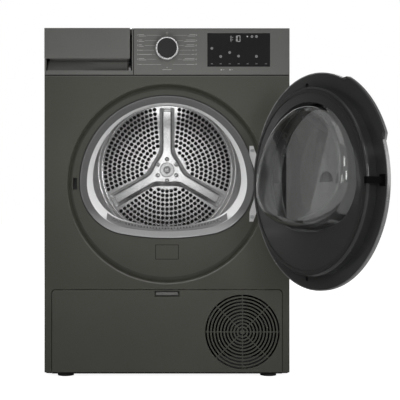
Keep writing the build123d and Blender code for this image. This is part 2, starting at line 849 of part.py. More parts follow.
lifter_seat = sqrt((drum_r - drum_t - 0.1) ** 2 - (lifter_w / 2) ** 2)
lifter_wall = 3.0
lifter_len = drum_floor_y - drum_front_y - 75
with BuildPart() as drum_lifters:
    for wall, mode in ((0.0, Mode.ADD), (lifter_wall, Mode.SUBTRACT)):
        with BuildSketch(facing(drum_front_y + 45 + wall, z=drum_z)):
            with PolarLocations(0, 3, 30):
                Polygon(
                    (lifter_seat, wall - lifter_w / 2),
                    (lifter_seat, lifter_w / 2 - wall),
                    (lifter_seat - 0.6 * lifter_h, 0.6 * lifter_top_w - wall),
                    (lifter_seat - lifter_h + wall, lifter_top_w / 2 - wall),
                    (lifter_seat - lifter_h + wall, wall - lifter_top_w / 2),
                    (lifter_seat - 0.6 * lifter_h, wall - 0.6 * lifter_top_w),
                    align=None,
                )
        extrude(amount=2 * wall - lifter_len, mode=mode)
keep(drum_lifters, "drum_lifters")

shaft_end_y = rear_y + seat_back + 6
with BuildPart() as drum_shaft:
    with BuildSketch(Plane.XY.offset(drum_z)):
        boss_y = drum_floor_y - arm_h
        outline(
            (0, boss_y - 9),
            (dome_r * 0.6, boss_y - 8.5),
            (dome_r, boss_y - 6),
            (dome_r, boss_y - 5),
            (boss_r - 2, boss_y - 5),
            (boss_r, boss_y - 3),
            (boss_r, boss_y),
            (shaft_r, boss_y),
            (shaft_r, shaft_end_y),
            (0, shaft_end_y),
        )
    revolve(axis=Axis((0, 0, drum_z), (0, 1, 0)))
keep(drum_shaft, "drum_shaft")

# Motor, belt and fans
belt_front_y = belt_y - belt_w / 2
belt_back_y = belt_y + belt_w / 2
belt_in = belt_gap
belt_out = belt_gap + belt_t
with BuildPart() as drive_belt:
    with BuildSketch(facing(belt_back_y)):
        wrap(0, drum_z, drum_r + belt_out, motor_x, motor_z, pulley_r + belt_out)
        wrap(0, drum_z, drum_r + belt_in, motor_x, motor_z, pulley_r + belt_in, Mode.SUBTRACT)
    extrude(amount=belt_w)
keep(drive_belt, "drive_belt")

with BuildPart() as motor_body:
    rod(motor_x, motor_z, motor_r, *motor_y)
    chamfer(motor_body.edges(), 6)
    with BuildSketch(facing(motor_y[0] + 20, motor_x, motor_z)):
        Circle(motor_r + 1)
        Circle(motor_r - 4, mode=Mode.SUBTRACT)
    extrude(amount=-6, mode=Mode.SUBTRACT)
    rod(motor_x, motor_z, motor_shaft_r + running, *motor_y, Mode.SUBTRACT)
    rod(motor_x, motor_z, motor_r - motor_wall, motor_y[0] + motor_wall, motor_y[1] - motor_wall, Mode.SUBTRACT)
keep(motor_body, "motor_body")

pulley_flange = 4.0
impeller_back_y = rear_y - sheet - 10
with BuildPart() as motor_rotor:
    rod(motor_x, motor_z, motor_shaft_r, belt_front_y - 10, impeller_back_y + 2)
    rod(motor_x, motor_z, pulley_r, belt_front_y - 4, belt_back_y + 4)
    for y in (belt_front_y - 4, belt_back_y + 2):
        rod(motor_x, motor_z, pulley_r + pulley_flange, y, y + 2)
keep(motor_rotor, "motor_rotor")

with BuildPart() as fan_housing:
    rod(motor_x, motor_z, fan_r, fan_y, rear_y - sheet)
    rod(motor_x, motor_z, fan_r - 3, fan_y + 2.5, rear_y - sheet, Mode.SUBTRACT)
    rod(motor_x, motor_z, 32, fan_y, fan_y + 2.5, Mode.SUBTRACT)
    block(
        (motor_x - fan_r + 20, motor_x + fan_r - 20),
        (fan_y + 10, rear_y - sheet - base_wall - 8),
        (floor_z, motor_z - fan_r + 8),
    )
    rod(motor_x, motor_z, fan_r - 3, fan_y + 2.5, rear_y - sheet, Mode.SUBTRACT)
keep(fan_housing, "fan_housing")

blades = 14
with BuildPart() as process_impeller:
    rod(motor_x, motor_z, impeller_r, impeller_back_y - 2, impeller_back_y)
    rod(motor_x, motor_z, 16, fan_y + 8, impeller_back_y)
    with BuildSketch(facing(impeller_back_y - 2, motor_x, motor_z)):
        with PolarLocations(impeller_r - 16, blades):
            Rectangle(28, 2.5)
    extrude(amount=impeller_back_y - fan_y - 12)
    rod(motor_x, motor_z, motor_shaft_r + touch, fan_y, impeller_back_y, Mode.SUBTRACT)
keep(process_impeller, "process_impeller")

# Idler: a sprung arm whose wheel runs on the belt's slack side
drive_aim = atan2(motor_z - drum_z, motor_x)
drive_spread = acos((drum_r - pulley_r) / hypot(motor_x, motor_z - drum_z))
slack = drive_aim - drive_spread
idler_reach = drum_r + belt_out + idler_r + belt_gap
idler_x = idler_reach * cos(slack) - idler_along * sin(slack)
idler_z = drum_z + idler_reach * sin(slack) + idler_along * cos(slack)
arm_y = (belt_back_y + 4, belt_back_y + 9)
with BuildPart() as idler_arm:
    with BuildSketch(facing(arm_y[1])):
        wrap(pivot_x, pivot_z, 10, idler_x, idler_z, 8)
    extrude(amount=arm_y[1] - arm_y[0])
    rod(pivot_x, pivot_z, idler_axle_r + running, *arm_y, Mode.SUBTRACT)
    rod(idler_x, idler_z, idler_axle_r, belt_front_y - 3, arm_y[0])
    rod(idler_x, idler_z, idler_axle_r + 3, belt_back_y + 1.5, arm_y[0])
    rod(idler_x, idler_z, idler_axle_r + 2, belt_front_y - 4.5, belt_front_y - 2)
keep(idler_arm, "idler_arm")

with BuildPart() as idler_wheel:
    rod(idler_x, idler_z, idler_r, belt_front_y - 1, belt_back_y + 1)
    chamfer(idler_wheel.edges(), 1)
    rod(idler_x, idler_z, idler_axle_r + running, belt_front_y - 1, belt_back_y + 1, Mode.SUBTRACT)
keep(idler_wheel, "idler_wheel")

# Heat pump: two finned coils, compressor and copper pipes
coil_x = (-268.0, -28.0)
coil_h = 190.0
fin_pitch = 8.0
tube_r = 4.0
evaporator_y = (-200.0, -130.0)
condenser_y = (-112.0, 8.0)
fins = int((coil_x[1] - coil_x[0] - 8) / fin_pitch)
for name, (y_from, y_to) in (("evaporator", evaporator_y), ("condenser", condenser_y)):
    coil_mid = ((coil_x[0] + coil_x[1]) / 2, (y_from + y_to) / 2, floor_z + coil_h / 2)
    with BuildPart() as coil:
        for x in (coil_x[0], coil_x[1] - 3):
            block((x, x + 3), (y_from, y_to), (floor_z, floor_z + coil_h))
        with Locations(coil_mid):
            with GridLocations(fin_pitch, 1, fins, 1):
                Box(0.8, y_to - y_from, coil_h - 8)
        with BuildSketch(Plane.YZ.offset(coil_x[0])):
            with Locations((coil_mid[1], coil_mid[2])):
                with GridLocations((y_to - y_from) / 2, 30, 2, 6):
                    Circle(tube_r)
        extrude(amount=coil_x[1] - coil_x[0])
    keep(coil, name)

can_x = 190.0
can_y = -90.0
can_r = 62.0
can_wall = 16.0  # shell and windings together
can_z = floor_z + 17.0
can_top = floor_z + 187.0
with BuildPart() as compressor:
    with BuildSketch(Plane.XY.offset(can_z)):
        with Locations((can_x, can_y)):
            Circle(can_r)
    extrude(amount=can_top - can_z)
    fillet(compressor.edges().group_by(Axis.Z)[-1], 24)
    with BuildSketch(Plane.XY.offset(can_z - 4)):
        with Locations((can_x, can_y)):
            RegularPolygon(can_r + 26, 3)
    extrude(amount=4)
    with BuildSketch(Plane.XY.offset(floor_z)):
        with Locations((can_x, can_y)):
            with PolarLocations(can_r + 6, 3):
                Circle(10)
    extrude(amount=can_z - 4 - floor_z)
    with BuildSketch(Plane.XY.offset(can_z - 4)):
        with Locations((can_x, can_y)):
            Circle(can_r - can_wall)
    extrude(amount=can_top - can_wall - can_z, mode=Mode.SUBTRACT)
keep(compressor, "compressor")


def tube(points, radius, bend):
    """A round tube along straight runs and arcs."""
    with BuildLine() as path:
        FilletPolyline(*points, radius=bend)
    with BuildSketch(Plane(origin=path.line @ 0, z_dir=path.line % 0)) as section:
        Circle(radius)
    sweep(section.sketch, path=path.line)


pipe_r = 4.0
pipe_bend = 12.0
pipe_z = floor_z + 205.0
coil_pipe_z = floor_z + 170.0
low_pipe_z = floor_z + 30.0
evaporator_mid = sum(evaporator_y) / 2
condenser_mid = sum(condenser_y) / 2
with BuildPart() as refrigerant_pipes:
    tube(
        [
            (can_x - 22, can_y + 20, can_top),
            (can_x - 22, can_y + 20, pipe_z),
            (coil_x[1] + 70, can_y + 20, pipe_z),
            (coil_x[1] + 70, condenser_mid, coil_pipe_z),
            (coil_x[1], condenser_mid, coil_pipe_z),
        ],
        pipe_r,
        pipe_bend,
    )
    tube(
        [
            (can_x + 8, can_y - 28, can_top),
            (can_x + 8, can_y - 28, pipe_z),
            (coil_x[1] + 90, can_y - 28, pipe_z),
            (coil_x[1] + 60, evaporator_mid, coil_pipe_z),
            (coil_x[1], evaporator_mid, coil_pipe_z),
        ],
        pipe_r,
        pipe_bend,
    )
    tube(
        [
            (coil_x[1], condenser_mid, low_pipe_z),
            (coil_x[1] + 40, condenser_mid, low_pipe_z),
            (coil_x[1] + 40, evaporator_mid, low_pipe_z),
            (coil_x[1], evaporator_mid, low_pipe_z),
        ],
        pipe_r,
        pipe_bend,
    )
keep(refrigerant_pipes, "refrigerant_pipes")

# Condensate pump and its hose up to the water tank
pump_x = -230.0
pump_y = 150.0
pump_r = 28.0
pump_h = 64.0
hose_r = 6.0
hose_back = 14.0
hose_side = 24.0
hose_z = (tank_top + lid_t + deck_z) / 2 + 1.5
with BuildPart() as condensate_pump:
    with BuildSketch(Plane.XY.offset(floor_z)):
        with Locations((pump_x, pump_y)):
            Circle(pump_r)
    extrude(amount=pump_h)
    chamfer(condensate_pump.edges().group_by(Axis.Z)[-1], 4)
    with BuildSketch(Plane.XY.offset(floor_z + pump_h)):
        with Locations((pump_x, pump_y)):
            Circle(hose_r + 2)
    extrude(amount=10)
keep(condensate_pump, "condensate_pump")

with BuildPart() as pump_hose:
    hose_y = rear_y - sheet - hose_back
    hose_x = -inner_w + hose_side
    tube(
        [
            (pump_x, pump_y, floor_z + pump_h + 10),
            (pump_x, pump_y, floor_z + pump_h + 50),
            (pump_x, hose_y, floor_z + pump_h + 50),
            (hose_x, hose_y, floor_z + pump_h + 110),
            (hose_x, hose_y, hose_z),
            (tank_knee_x, hose_y, hose_z),
            (tank_knee_x, inlet_y, hose_z),
        ],
        hose_r,
        18,
    )
keep(pump_hose, "pump_hose")

# Control fascia, display and electronics housing
with BuildPart() as control_fascia:
    fascia_y = (front_y, front_y + fascia_d)
    block((fascia_seam_x, half_w), fascia_y, (fascia_z, height))
    fillet(control_fascia.edges().filter_by(Axis.X).group_by(Axis.Z)[-1].sort_by(Axis.Y)[0], fascia_round)
    block(
        (fascia_seam_x + fascia_wall, half_w - fascia_wall),
        (front_y + fascia_skin, front_y + fascia_d),
        (fascia_z + fascia_wall, height - fascia_wall - fascia_round / 2),
        Mode.SUBTRACT,
    )
    rod(0, knob_z, knob_stem_r + running, front_y, front_y + fascia_skin, Mode.SUBTRACT)
    block(display_x, (front_y, front_y + display_t), display_z, Mode.SUBTRACT)
    block(
        (display_x[0] + display_lip, display_x[1] - display_lip),
        (front_y, front_y + fascia_skin),
        (display_z[0] + display_lip, display_z[1] - display_lip),
        Mode.SUBTRACT,
    )
    shadow_y = (front_y, front_y + shadow_d)
    block((fascia_seam_x, half_w), shadow_y, (fascia_z, fascia_z + shadow_w), Mode.SUBTRACT)
    block((fascia_seam_x, fascia_seam_x + shadow_w), shadow_y, (fascia_z, height), Mode.SUBTRACT)
keep(control_fascia, "control_fascia")

with BuildPart() as display_window:
    block(
        (display_x[0] + display_fit, display_x[1] - display_fit),
        (front_y, front_y + display_t),
        (display_z[0] + display_fit, display_z[1] - display_fit),
    )
keep(display_window, "display_window")

housing_d = 44.0
housing_wall = 2.0
with BuildPart() as control_housing:
    housing_x = (display_x[0] - 8, half_w - fold - 2)
    housing_y = (front_y + fascia_d, front_y + fascia_d + housing_d)
    housing_z = (fascia_z + 1, deck_z - 3)
    block(housing_x, housing_y, housing_z)
    block(
        (housing_x[0] + housing_wall, housing_x[1] - housing_wall),
        (housing_y[0], housing_y[1] - housing_wall),
        (housing_z[0] + housing_wall, housing_z[1] - housing_wall),
        Mode.SUBTRACT,
    )
    # the board with its larger components
    board_y = housing_y[1] - 14
    block(
        (housing_x[0] + housing_wall, housing_x[1] - housing_wall),
        (board_y, board_y + 2),
        (housing_z[0] + housing_wall, housing_z[1] - housing_wall),
    )
    for i in range(4):
        relay_x = housing_x[0] + 20 + i * 34
        block((relay_x, relay_x + 22), (board_y - 16, board_y), (housing_z[0] + 20, housing_z[0] + 48))
keep(control_housing, "control_housing")

with BuildPart() as knob_body:
    knob_back_y = front_y - knob_gap
    rod(0, knob_z, knob_r - knob_ring_w - touch, knob_back_y - knob_h, knob_back_y)
    fillet(knob_body.edges().group_by(Axis.Y)[0], 2)
    rod(0, knob_z, knob_stem_r, knob_back_y, front_y + fascia_skin + 6)
    rod(0, knob_z, knob_stem_r + 3, front_y + fascia_skin + 0.5, front_y + fascia_skin + 3)
keep(knob_body, "knob_body")

with BuildPart() as knob_ring:
    rod(0, knob_z, knob_r, knob_back_y - knob_h + 3, knob_back_y)
    chamfer(knob_ring.edges().group_by(Axis.Y)[0], 1.5)
    rod(0, knob_z, knob_r - knob_ring_w, knob_back_y - knob_h, knob_back_y, Mode.SUBTRACT)
keep(knob_ring, "knob_ring")

# Water drawer: surround with its runner, drawer front, tank and lid
grip_floor_z = fascia_z + grip_bottom
grip_back_y = front_y + grip_d
grip_plate = 2.5
with BuildPart() as drawer_surround:
    block((-half_w, fascia_seam_x - seam), fascia_y, (fascia_z, grip_floor_z))
    block((drawer_edge_x + 5, fascia_seam_x - seam), fascia_y, (fascia_z, height))
    fillet(drawer_surround.edges().filter_by(Axis.X).group_by(Axis.Z)[-1].sort_by(Axis.Y)[0], fascia_round)
    block((-half_w, -half_w + 4), (front_y, side_front_y), (fascia_z, drawer_z - seam))
    riser_y = grip_back_y + grip_plate + 6
    shelf_x = (-half_w + fold + 1, tank_knee_x)
    block(shelf_x, (fascia_y[1] - 1, riser_y + 2), (fascia_z + 2, fascia_z + 4))
    block(shelf_x, (riser_y, riser_y + 2), (fascia_z + 2, tank_low - runner_gap))
    runner_x = -inner_w + emboss
    with BuildSketch(facing(riser_y)):
        outline(
            (runner_x, tank_low - runner_gap),
            (tank_knee_x, tank_low - runner_gap),
            (tank_x[1], tank_high - runner_gap),
            (tank_x[1], tank_high - runner_gap - runner_t),
            (tank_knee_x, tank_low - runner_gap - runner_t),
            (runner_x, tank_low - runner_gap - runner_t),
        )
    extrude(amount=-(tank_back_y + 10 - riser_y))
    block((-half_w, fascia_seam_x), shadow_y, (fascia_z, fascia_z + shadow_w), Mode.SUBTRACT)
keep(drawer_surround, "drawer_surround")

with BuildPart() as drawer_front:
    face_y = front_y - drawer_proud
    block((-half_w, drawer_edge_x), (face_y, face_y + drawer_t), (drawer_z, height))
    fillet(drawer_front.edges().group_by(Axis.Y)[0], 1.5)
    block((-half_w, -half_w + 3), (face_y + 3, side_front_y - 1), (drawer_z, height - 3))
    block((-half_w + 3, drawer_edge_x - 3), (face_y + 3, fascia_y[1] - 1), (height - 4, height - 1))
    shelf_z = drawer_z + grip_rise
    block(tank_x, (face_y + drawer_t - 1, grip_back_y + grip_plate), (shelf_z, shelf_z + 2))
    block(tank_x, (grip_back_y, grip_back_y + grip_plate), (grip_floor_z + 1, shelf_z + 2))
keep(drawer_front, "drawer_front")

tank_front_y = grip_back_y + grip_plate
slope = (tank_high - tank_low) / (tank_x[1] - tank_knee_x)
with BuildPart() as tank_body:
    with BuildSketch(facing(tank_front_y)):
        outline(
            (tank_x[0], tank_low),
            (tank_knee_x, tank_low),
            (tank_x[1], tank_high),
            (tank_x[1], tank_top),
            (tank_x[0], tank_top),
        )
    extrude(amount=tank_front_y - tank_back_y)
    with BuildSketch(facing(tank_front_y + tank_wall)):
        outline(
            (tank_x[0] + tank_wall, tank_low + tank_wall),
            (tank_knee_x - slope * tank_wall / 2, tank_low + tank_wall),
            (tank_x[1] - tank_wall, tank_high + tank_wall * (1 - slope / 2)),
            (tank_x[1] - tank_wall, tank_top),
            (tank_x[0] + tank_wall, tank_top),
        )
    extrude(amount=tank_front_y - tank_back_y + 2 * tank_wall, mode=Mode.SUBTRACT)
keep(tank_body, "tank_body")

with BuildPart() as tank_lid:
    block(tank_x, (tank_front_y, tank_back_y), (tank_top, tank_top + lid_t))
    with BuildSketch(Plane.XY.offset(tank_top)):
        with Locations((tank_knee_x, inlet_y)):
            Circle(inlet_r)
    extrude(amount=lid_t, mode=Mode.SUBTRACT)
keep(tank_lid, "tank_lid")

# Kick flap with its ring grille, hinge pins and button well
well_mid_z = flap_top - flap_gap - 2 - button_well_h / 2
well_floor_y = front_y + 9.0
with BuildPart() as kick_flap:
    with BuildSketch(facing(front_y)) as flap_face:
        with Locations((0, (flap_z + flap_top - flap_gap) / 2)):
            Rectangle(2 * flap_half, flap_top - flap_gap - flap_z)
        fillet(flap_face.vertices().group_by(Axis.Y)[-1], flap_corner)
    extrude(amount=-flap_skin - flap_rim)
    with BuildSketch(facing(front_y + flap_skin)) as flap_hollow:
        with Locations((0, (flap_z + flap_top - flap_gap) / 2)):
            Rectangle(2 * flap_half - 4, flap_top - flap_gap - flap_z - 4)
        fillet(flap_hollow.vertices().group_by(Axis.Y)[-1], flap_corner - 2)
    extrude(amount=-flap_rim, mode=Mode.SUBTRACT)
    with BuildSketch(facing(front_y + flap_skin, grille_x, grille_z)):
        for ring in range(grille_rings, 0, -1):
            mean_r = ring * grille_pitch
            Circle(mean_r + grille_slot / 2)
            Circle(mean_r - grille_slot / 2, mode=Mode.SUBTRACT)
            with PolarLocations(mean_r, 4, 45 * ((grille_rings - ring) % 2)):
                Rectangle(grille_slot + 1.5, grille_spoke, mode=Mode.SUBTRACT)
    extrude(amount=flap_skin, mode=Mode.SUBTRACT)
    well_x = button_well_w / 2
    well_low = well_mid_z - button_well_h / 2
    well_high = well_mid_z + button_well_h / 2
    block((-well_x - 1.5, well_x + 1.5), (front_y + 1, well_floor_y + 2), (well_low - 1.5, well_high + 1.5))
    block((-well_x, well_x), (front_y, well_floor_y), (well_low, well_high), Mode.SUBTRACT)
    block((-4.5, 4.5), (well_floor_y, well_floor_y + 2), (well_mid_z - 3, well_mid_z + 3), Mode.SUBTRACT)
    inner_rib = flap_lug_w / 2 + flap_rib_gap
    for side in (-1, 1):
        # the lower rim is open at each lug, so that the flap can lie down
        block(
            (side * flap_lug_x - inner_rib, side * flap_lug_x + inner_rib),
            (front_y + flap_skin, front_y + flap_skin + flap_rim),
            (flap_z, flap_pin_z),
            Mode.SUBTRACT,
        )
        for lug_side in (-1, 1):
            rib_x = side * flap_lug_x + lug_side * (inner_rib + flap_rib_w / 2)
            block(
                (rib_x - flap_rib_w / 2, rib_x + flap_rib_w / 2),
                (front_y + flap_skin - 0.5, flap_axis_y + 5),
                (flap_pin_z - 7, flap_pin_z + 7),
            )
        with BuildSketch(Plane.YZ.offset(side * flap_lug_x - inner_rib - flap_rib_w / 2)):
            with Locations((flap_axis_y, flap_pin_z)):
                Circle(flap_pin_r)
        extrude(amount=2 * inner_rib + flap_rib_w)
keep(kick_flap, "kick_flap")

with BuildPart() as flap_button:
    button_y = (front_y + 0.5, front_y + 0.5 + button_t)
    block((-button_w / 2, button_w / 2), button_y, (well_mid_z - button_h / 2, well_mid_z + button_h / 2))
    fillet(flap_button.edges().group_by(Axis.Y)[0], 1)
    block((-4, 4), (button_y[1], well_floor_y + 8), (well_mid_z - 2.5, well_mid_z + 2.5))
keep(flap_button, "flap_button")

# Door hinge on the cabinet: bracket, pin and screws
bracket_t = 2.0
bracket_half = 93.0
lug_z = knuckle_half + 0.3
with BuildPart() as hinge_bracket:
    with BuildSketch(facing(floor_y, hinge_x, door_z)):
        outline(
            (-21, bracket_half),
            (-12, bracket_half),
            (0, bracket_half - 33),
            (0, -bracket_half + 33),
            (-12, -bracket_half),
            (-21, -bracket_half),
            (-21, -bracket_half + 23),
            (-10, -bracket_half + 55),
            (-10, bracket_half - 55),
            (-21, bracket_half - 23),
        )
        with Locations(*[(hinge_screw_x - hinge_x, rise) for rise in hinge_screw_rises]):
            Circle(hinge_screw_r + touch, mode=Mode.SUBTRACT)
    extrude(amount=bracket_t)
    for low in (door_z + lug_z, door_z - lug_z - lug_w):
        with BuildSketch(Plane.XY.offset(low)):
            with Locations((hinge_x, hinge_y)):
                Circle(knuckle_r)
            outline(
                (hinge_x - knuckle_r, hinge_y),
                (hinge_x + knuckle_r, hinge_y),
                (hinge_x, floor_y - bracket_t + 0.5),
                (hinge_x - 10, floor_y - bracket_t + 0.5),
            )
            with Locations((hinge_x, hinge_y)):
                Circle(hinge_pin_r + touch, mode=Mode.SUBTRACT)
        extrude(amount=lug_w)
keep(hinge_bracket, "hinge_bracket")

pin_half = lug_z + lug_w
with BuildPart() as hinge_pin:
    with BuildSketch(Plane.XY.offset(door_z - pin_half)):
        with Locations((hinge_x, hinge_y)):
            Circle(hinge_pin_r)
    extrude(amount=2 * pin_half)
    for low in (door_z + pin_half, door_z - pin_half - 2):
        with BuildSketch(Plane.XY.offset(low)):
            with Locations((hinge_x, hinge_y)):
                Circle(hinge_pin_r + 1.5)
        extrude(amount=2)
keep(hinge_pin, "hinge_pin")

with BuildPart() as panel_screws:
    head_y = floor_y - bracket_t
    for rise in hinge_screw_rises:
        rod(hinge_screw_x, door_z + rise, hinge_screw_r, head_y, floor_y + dish_t)
        rod(hinge_screw_x, door_z + rise, screw_head_r, head_y - screw_head_h, head_y)
    for x, z in rear_screw_points:
        rod(x, z, screw_shank_r, rear_y - sheet, rear_y)
        rod(x, z, screw_head_r, rear_y, rear_y + screw_head_h)
keep(panel_screws, "panel_screws")

# Door leaf: u runs from the hinge to the free edge, v up, w towards the drum
swing = radians(180 + open_rest)
door_dir = Vector(cos(swing), sin(swing), 0)
door_in = Vector(sin(swing), -cos(swing), 0)
leaf = Plane(origin=(hinge_x, hinge_y, door_z), x_dir=door_dir, z_dir=door_in)
door_u = hinge_x  # the closed door is centred on the cabinet
door_mid = leaf.from_local_coords(Vector(door_u, 0, 0))
door_axis = Axis(door_mid, door_in)
door_section = Plane(origin=door_mid, x_dir=door_dir, z_dir=(0, 0, -1))


def leaf_at(w, u=0.0, v=0.0):
    """Plane parallel to the door leaf, w towards the drum."""
    return Plane(origin=leaf.from_local_coords(Vector(u, v, w)), x_dir=door_dir, z_dir=door_in)


def notch():
    """Clear the rim round the hinge."""
    with BuildSketch(leaf_at(-2 * glass_depth, notch_u - 50, 0)) as space:
        Rectangle(100, 2 * notch_half)
    extrude(space.sketch, amount=4 * glass_depth, mode=Mode.SUBTRACT)


def handle_lobe(inner, outer, trim):
    """The handle's outline beyond the door's edge, its ends drawn in by an angle."""
    start = handle_from + trim
    turn = handle_to - handle_from - 2 * trim
    with BuildLine() as edge:
        outer_edge = CenterArc((0, 0), outer, start + 3, turn - 6)
        inner_edge = CenterArc((0, 0), inner, start, turn)
        Line(outer_edge @ 0, inner_edge @ 0)
        Line(outer_edge @ 1, inner_edge @ 1)
    make_face(edge.line)


seat_w = -glass_depth + glass_t
frame_w = rim_in - frame_t
handle_trim = degrees(handle_edge / handle_r)
grip_gap = 0.3
with BuildPart() as door_outer_cover:
    with BuildSketch(door_section):
        outline(
            (door_r, rim_in),
            (door_r, -rim_out + 3),
            (door_r - 3, -rim_out),
            (glass_r + 6, -glass_depth),
            (glass_r, -glass_depth),
            (glass_r, seat_w),
            (glass_r - 8, seat_w),
            (glass_r - 8, seat_w + cover_t),
            (glass_r + 4, seat_w + cover_t),
            (door_r - 4, -rim_out + cover_t + 0.5),
            (door_r - cover_t, -rim_out + cover_t + 2),
            (door_r - cover_t, rim_in),
        )
    revolve(axis=door_axis)
    with BuildSketch(leaf_at(-rim_out, door_u, 0)):
        handle_lobe(door_r - 2, handle_r, 0)
    extrude(amount=rim_out + rim_in)
    # the inner frame's grip lies in the handle's hollow
    with BuildSketch(leaf_at(frame_w, door_u, 0)):
        handle_lobe(door_r - cover_t - 2, handle_r - handle_edge, handle_trim)
    extrude(amount=frame_t, mode=Mode.SUBTRACT)
    notch()
keep(door_outer_cover, "door_outer_cover")

pane_r = glass_r - 0.3
crown_r = (pane_r**2 + glass_crown**2) / (2 * glass_crown)
crown_turn = degrees(asin(pane_r / crown_r))
with BuildPart() as door_outer_glass:
    with BuildSketch(door_section):
        with BuildLine():
            crown = CenterArc((0, crown_r - glass_depth - glass_crown), crown_r, -90, crown_turn)
            Polyline(crown @ 1, (pane_r, seat_w), (0, seat_w), crown @ 0)
        make_face()
    revolve(axis=door_axis)
keep(door_outer_glass, "door_outer_glass")

ring_top = rim_in + ring_h
plate_r = door_r - cover_t - 0.5
door_screw_u = door_u - 26.0
door_screw_v = 215.0
recess_screw_r = 6.0
with BuildPart() as door_inner_frame:
    with BuildSketch(leaf_at(frame_w, door_u)):
        Circle(ring_r)
    extrude(amount=ring_top - frame_w)
    fillet(door_inner_frame.faces().sort_by(Axis(door_mid, door_in))[-1].edges(), 5)
    with BuildSketch(leaf_at(frame_w, door_u)):
        Circle(plate_r)
        handle_lobe(plate_r - 4, handle_r - handle_edge - grip_gap, handle_trim + degrees(grip_gap / door_r))
    extrude(amount=frame_t)
    with BuildSketch(leaf_at(frame_w, door_u, egg_rise)):
        with Locations((0, -egg_rise)):
            Circle(ring_r - ring_skin)
        ring_back = bowl_fit + ring_wall
        egg(bowl_half + ring_back, bowl_corner + ring_back, bowl_drop + ring_back, Mode.SUBTRACT)
    extrude(amount=ring_top - frame_w - ring_skin - 3, mode=Mode.SUBTRACT)
    with BuildSketch(leaf_at(frame_w, door_u, egg_rise)):
        egg(bowl_half + bowl_fit, bowl_corner + bowl_fit, bowl_drop + bowl_fit)
    extrude(amount=ring_top, mode=Mode.SUBTRACT)
    with BuildSketch(leaf_at(frame_w - 6)):
        with Locations((door_screw_u, door_screw_v), (door_screw_u, -door_screw_v)):
            Circle(recess_screw_r + 2.5)
    extrude(amount=6)
    with BuildSketch(leaf_at(frame_w - 4)):
        with Locations((door_screw_u, door_screw_v), (door_screw_u, -door_screw_v)):
            Circle(recess_screw_r)
    extrude(amount=10, mode=Mode.SUBTRACT)
    notch()
keep(door_inner_frame, "door_inner_frame")

with BuildPart() as door_screws:
    with BuildSketch(leaf_at(frame_w - 4)):
        with Locations((door_screw_u, door_screw_v), (door_screw_u, -door_screw_v)):
            Circle(recess_screw_r - 1)
    extrude(amount=3)
keep(door_screws, "door_screws")


def bowl_form(shrink):
    """The bowl's outer or inner shape, cut by its slanted end."""
    low_w = -2.0
    end_w = bowl_low_d + 20
    with BuildPart() as form:
        for w, draw_in in ((low_w, shrink), (end_w, shrink + bowl_lean)):
            with BuildSketch(leaf_at(w, door_u, egg_rise)):
                egg(bowl_half - draw_in, bowl_corner - draw_in, bowl_drop - draw_in)
        loft()
        tall = bowl_half + bowl_drop
        end_point = leaf.from_local_coords(Vector(door_u, egg_rise + (bowl_half - bowl_drop) / 2, 0))
        end_point += door_in * ((bowl_top_d + bowl_low_d) / 2 - shrink)
        end_normal = door_in * tall + Vector(0, 0, bowl_low_d - bowl_top_d)
        split(bisect_by=Plane(origin=end_point, z_dir=end_normal), keep=Keep.BOTTOM)
        end_face = form.faces().sort_by(Axis(door_mid, end_normal))[-1]
        fillet(end_face.edges(), bowl_round - shrink)
    return form.part


bowl_outside = bowl_form(0)
bowl_inside = bowl_form(bowl_wall)
with BuildPart() as door_bowl_glass:
    add(bowl_outside)
    with BuildSketch(leaf_at(-2, door_u, egg_rise)):
        egg(bowl_half + bowl_flange, bowl_corner + bowl_flange, bowl_drop + bowl_flange)
    extrude(amount=frame_w + 2)
    add(bowl_inside, mode=Mode.SUBTRACT)
keep(door_bowl_glass, "door_bowl_glass")

with BuildPart() as door_gasket:
    with BuildSketch(leaf_at(ring_top, door_u)):
        Circle(ring_r - 6)
        Circle(ring_r - 6 - gasket_w, mode=Mode.SUBTRACT)
    extrude(amount=gasket_t)
keep(door_gasket, "door_gasket")

arm_plate = door_u - bowl_half - bowl_flange - 2
with BuildPart() as door_hinge_arm:
    with BuildSketch(Plane.XY.offset(door_z - knuckle_half)):
        with Locations((hinge_x, hinge_y)):
            Circle(knuckle_r)
    extrude(amount=2 * knuckle_half)
    with BuildSketch(leaf_at(-2, arm_plate / 2)):
        Rectangle(arm_plate, 2 * knuckle_half)
    extrude(amount=frame_w + 2)
    with BuildSketch(Plane.XY.offset(door_z - knuckle_half)):
        with Locations((hinge_x, hinge_y)):
            Circle(hinge_pin_r + running)
    extrude(amount=2 * knuckle_half, mode=Mode.SUBTRACT)
keep(door_hinge_arm, "door_hinge_arm")

with BuildPart() as door_latch_hook:
    with BuildSketch(leaf_at(rim_in, hook_u)):
        Rectangle(14, 24)
    extrude(amount=3)
    with BuildSketch(leaf_at(rim_in, hook_u)):
        Rectangle(6, 14)
    extrude(amount=hook_top - rim_in)
    with BuildSketch(leaf_at(hook_top - 6, hook_u - 0.75)):
        Rectangle(7.5, 14)
    extrude(amount=6)
keep(door_latch_hook, "door_latch_hook")
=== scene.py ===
import json
import math

import bmesh
import bpy
from mathutils import Matrix, Vector


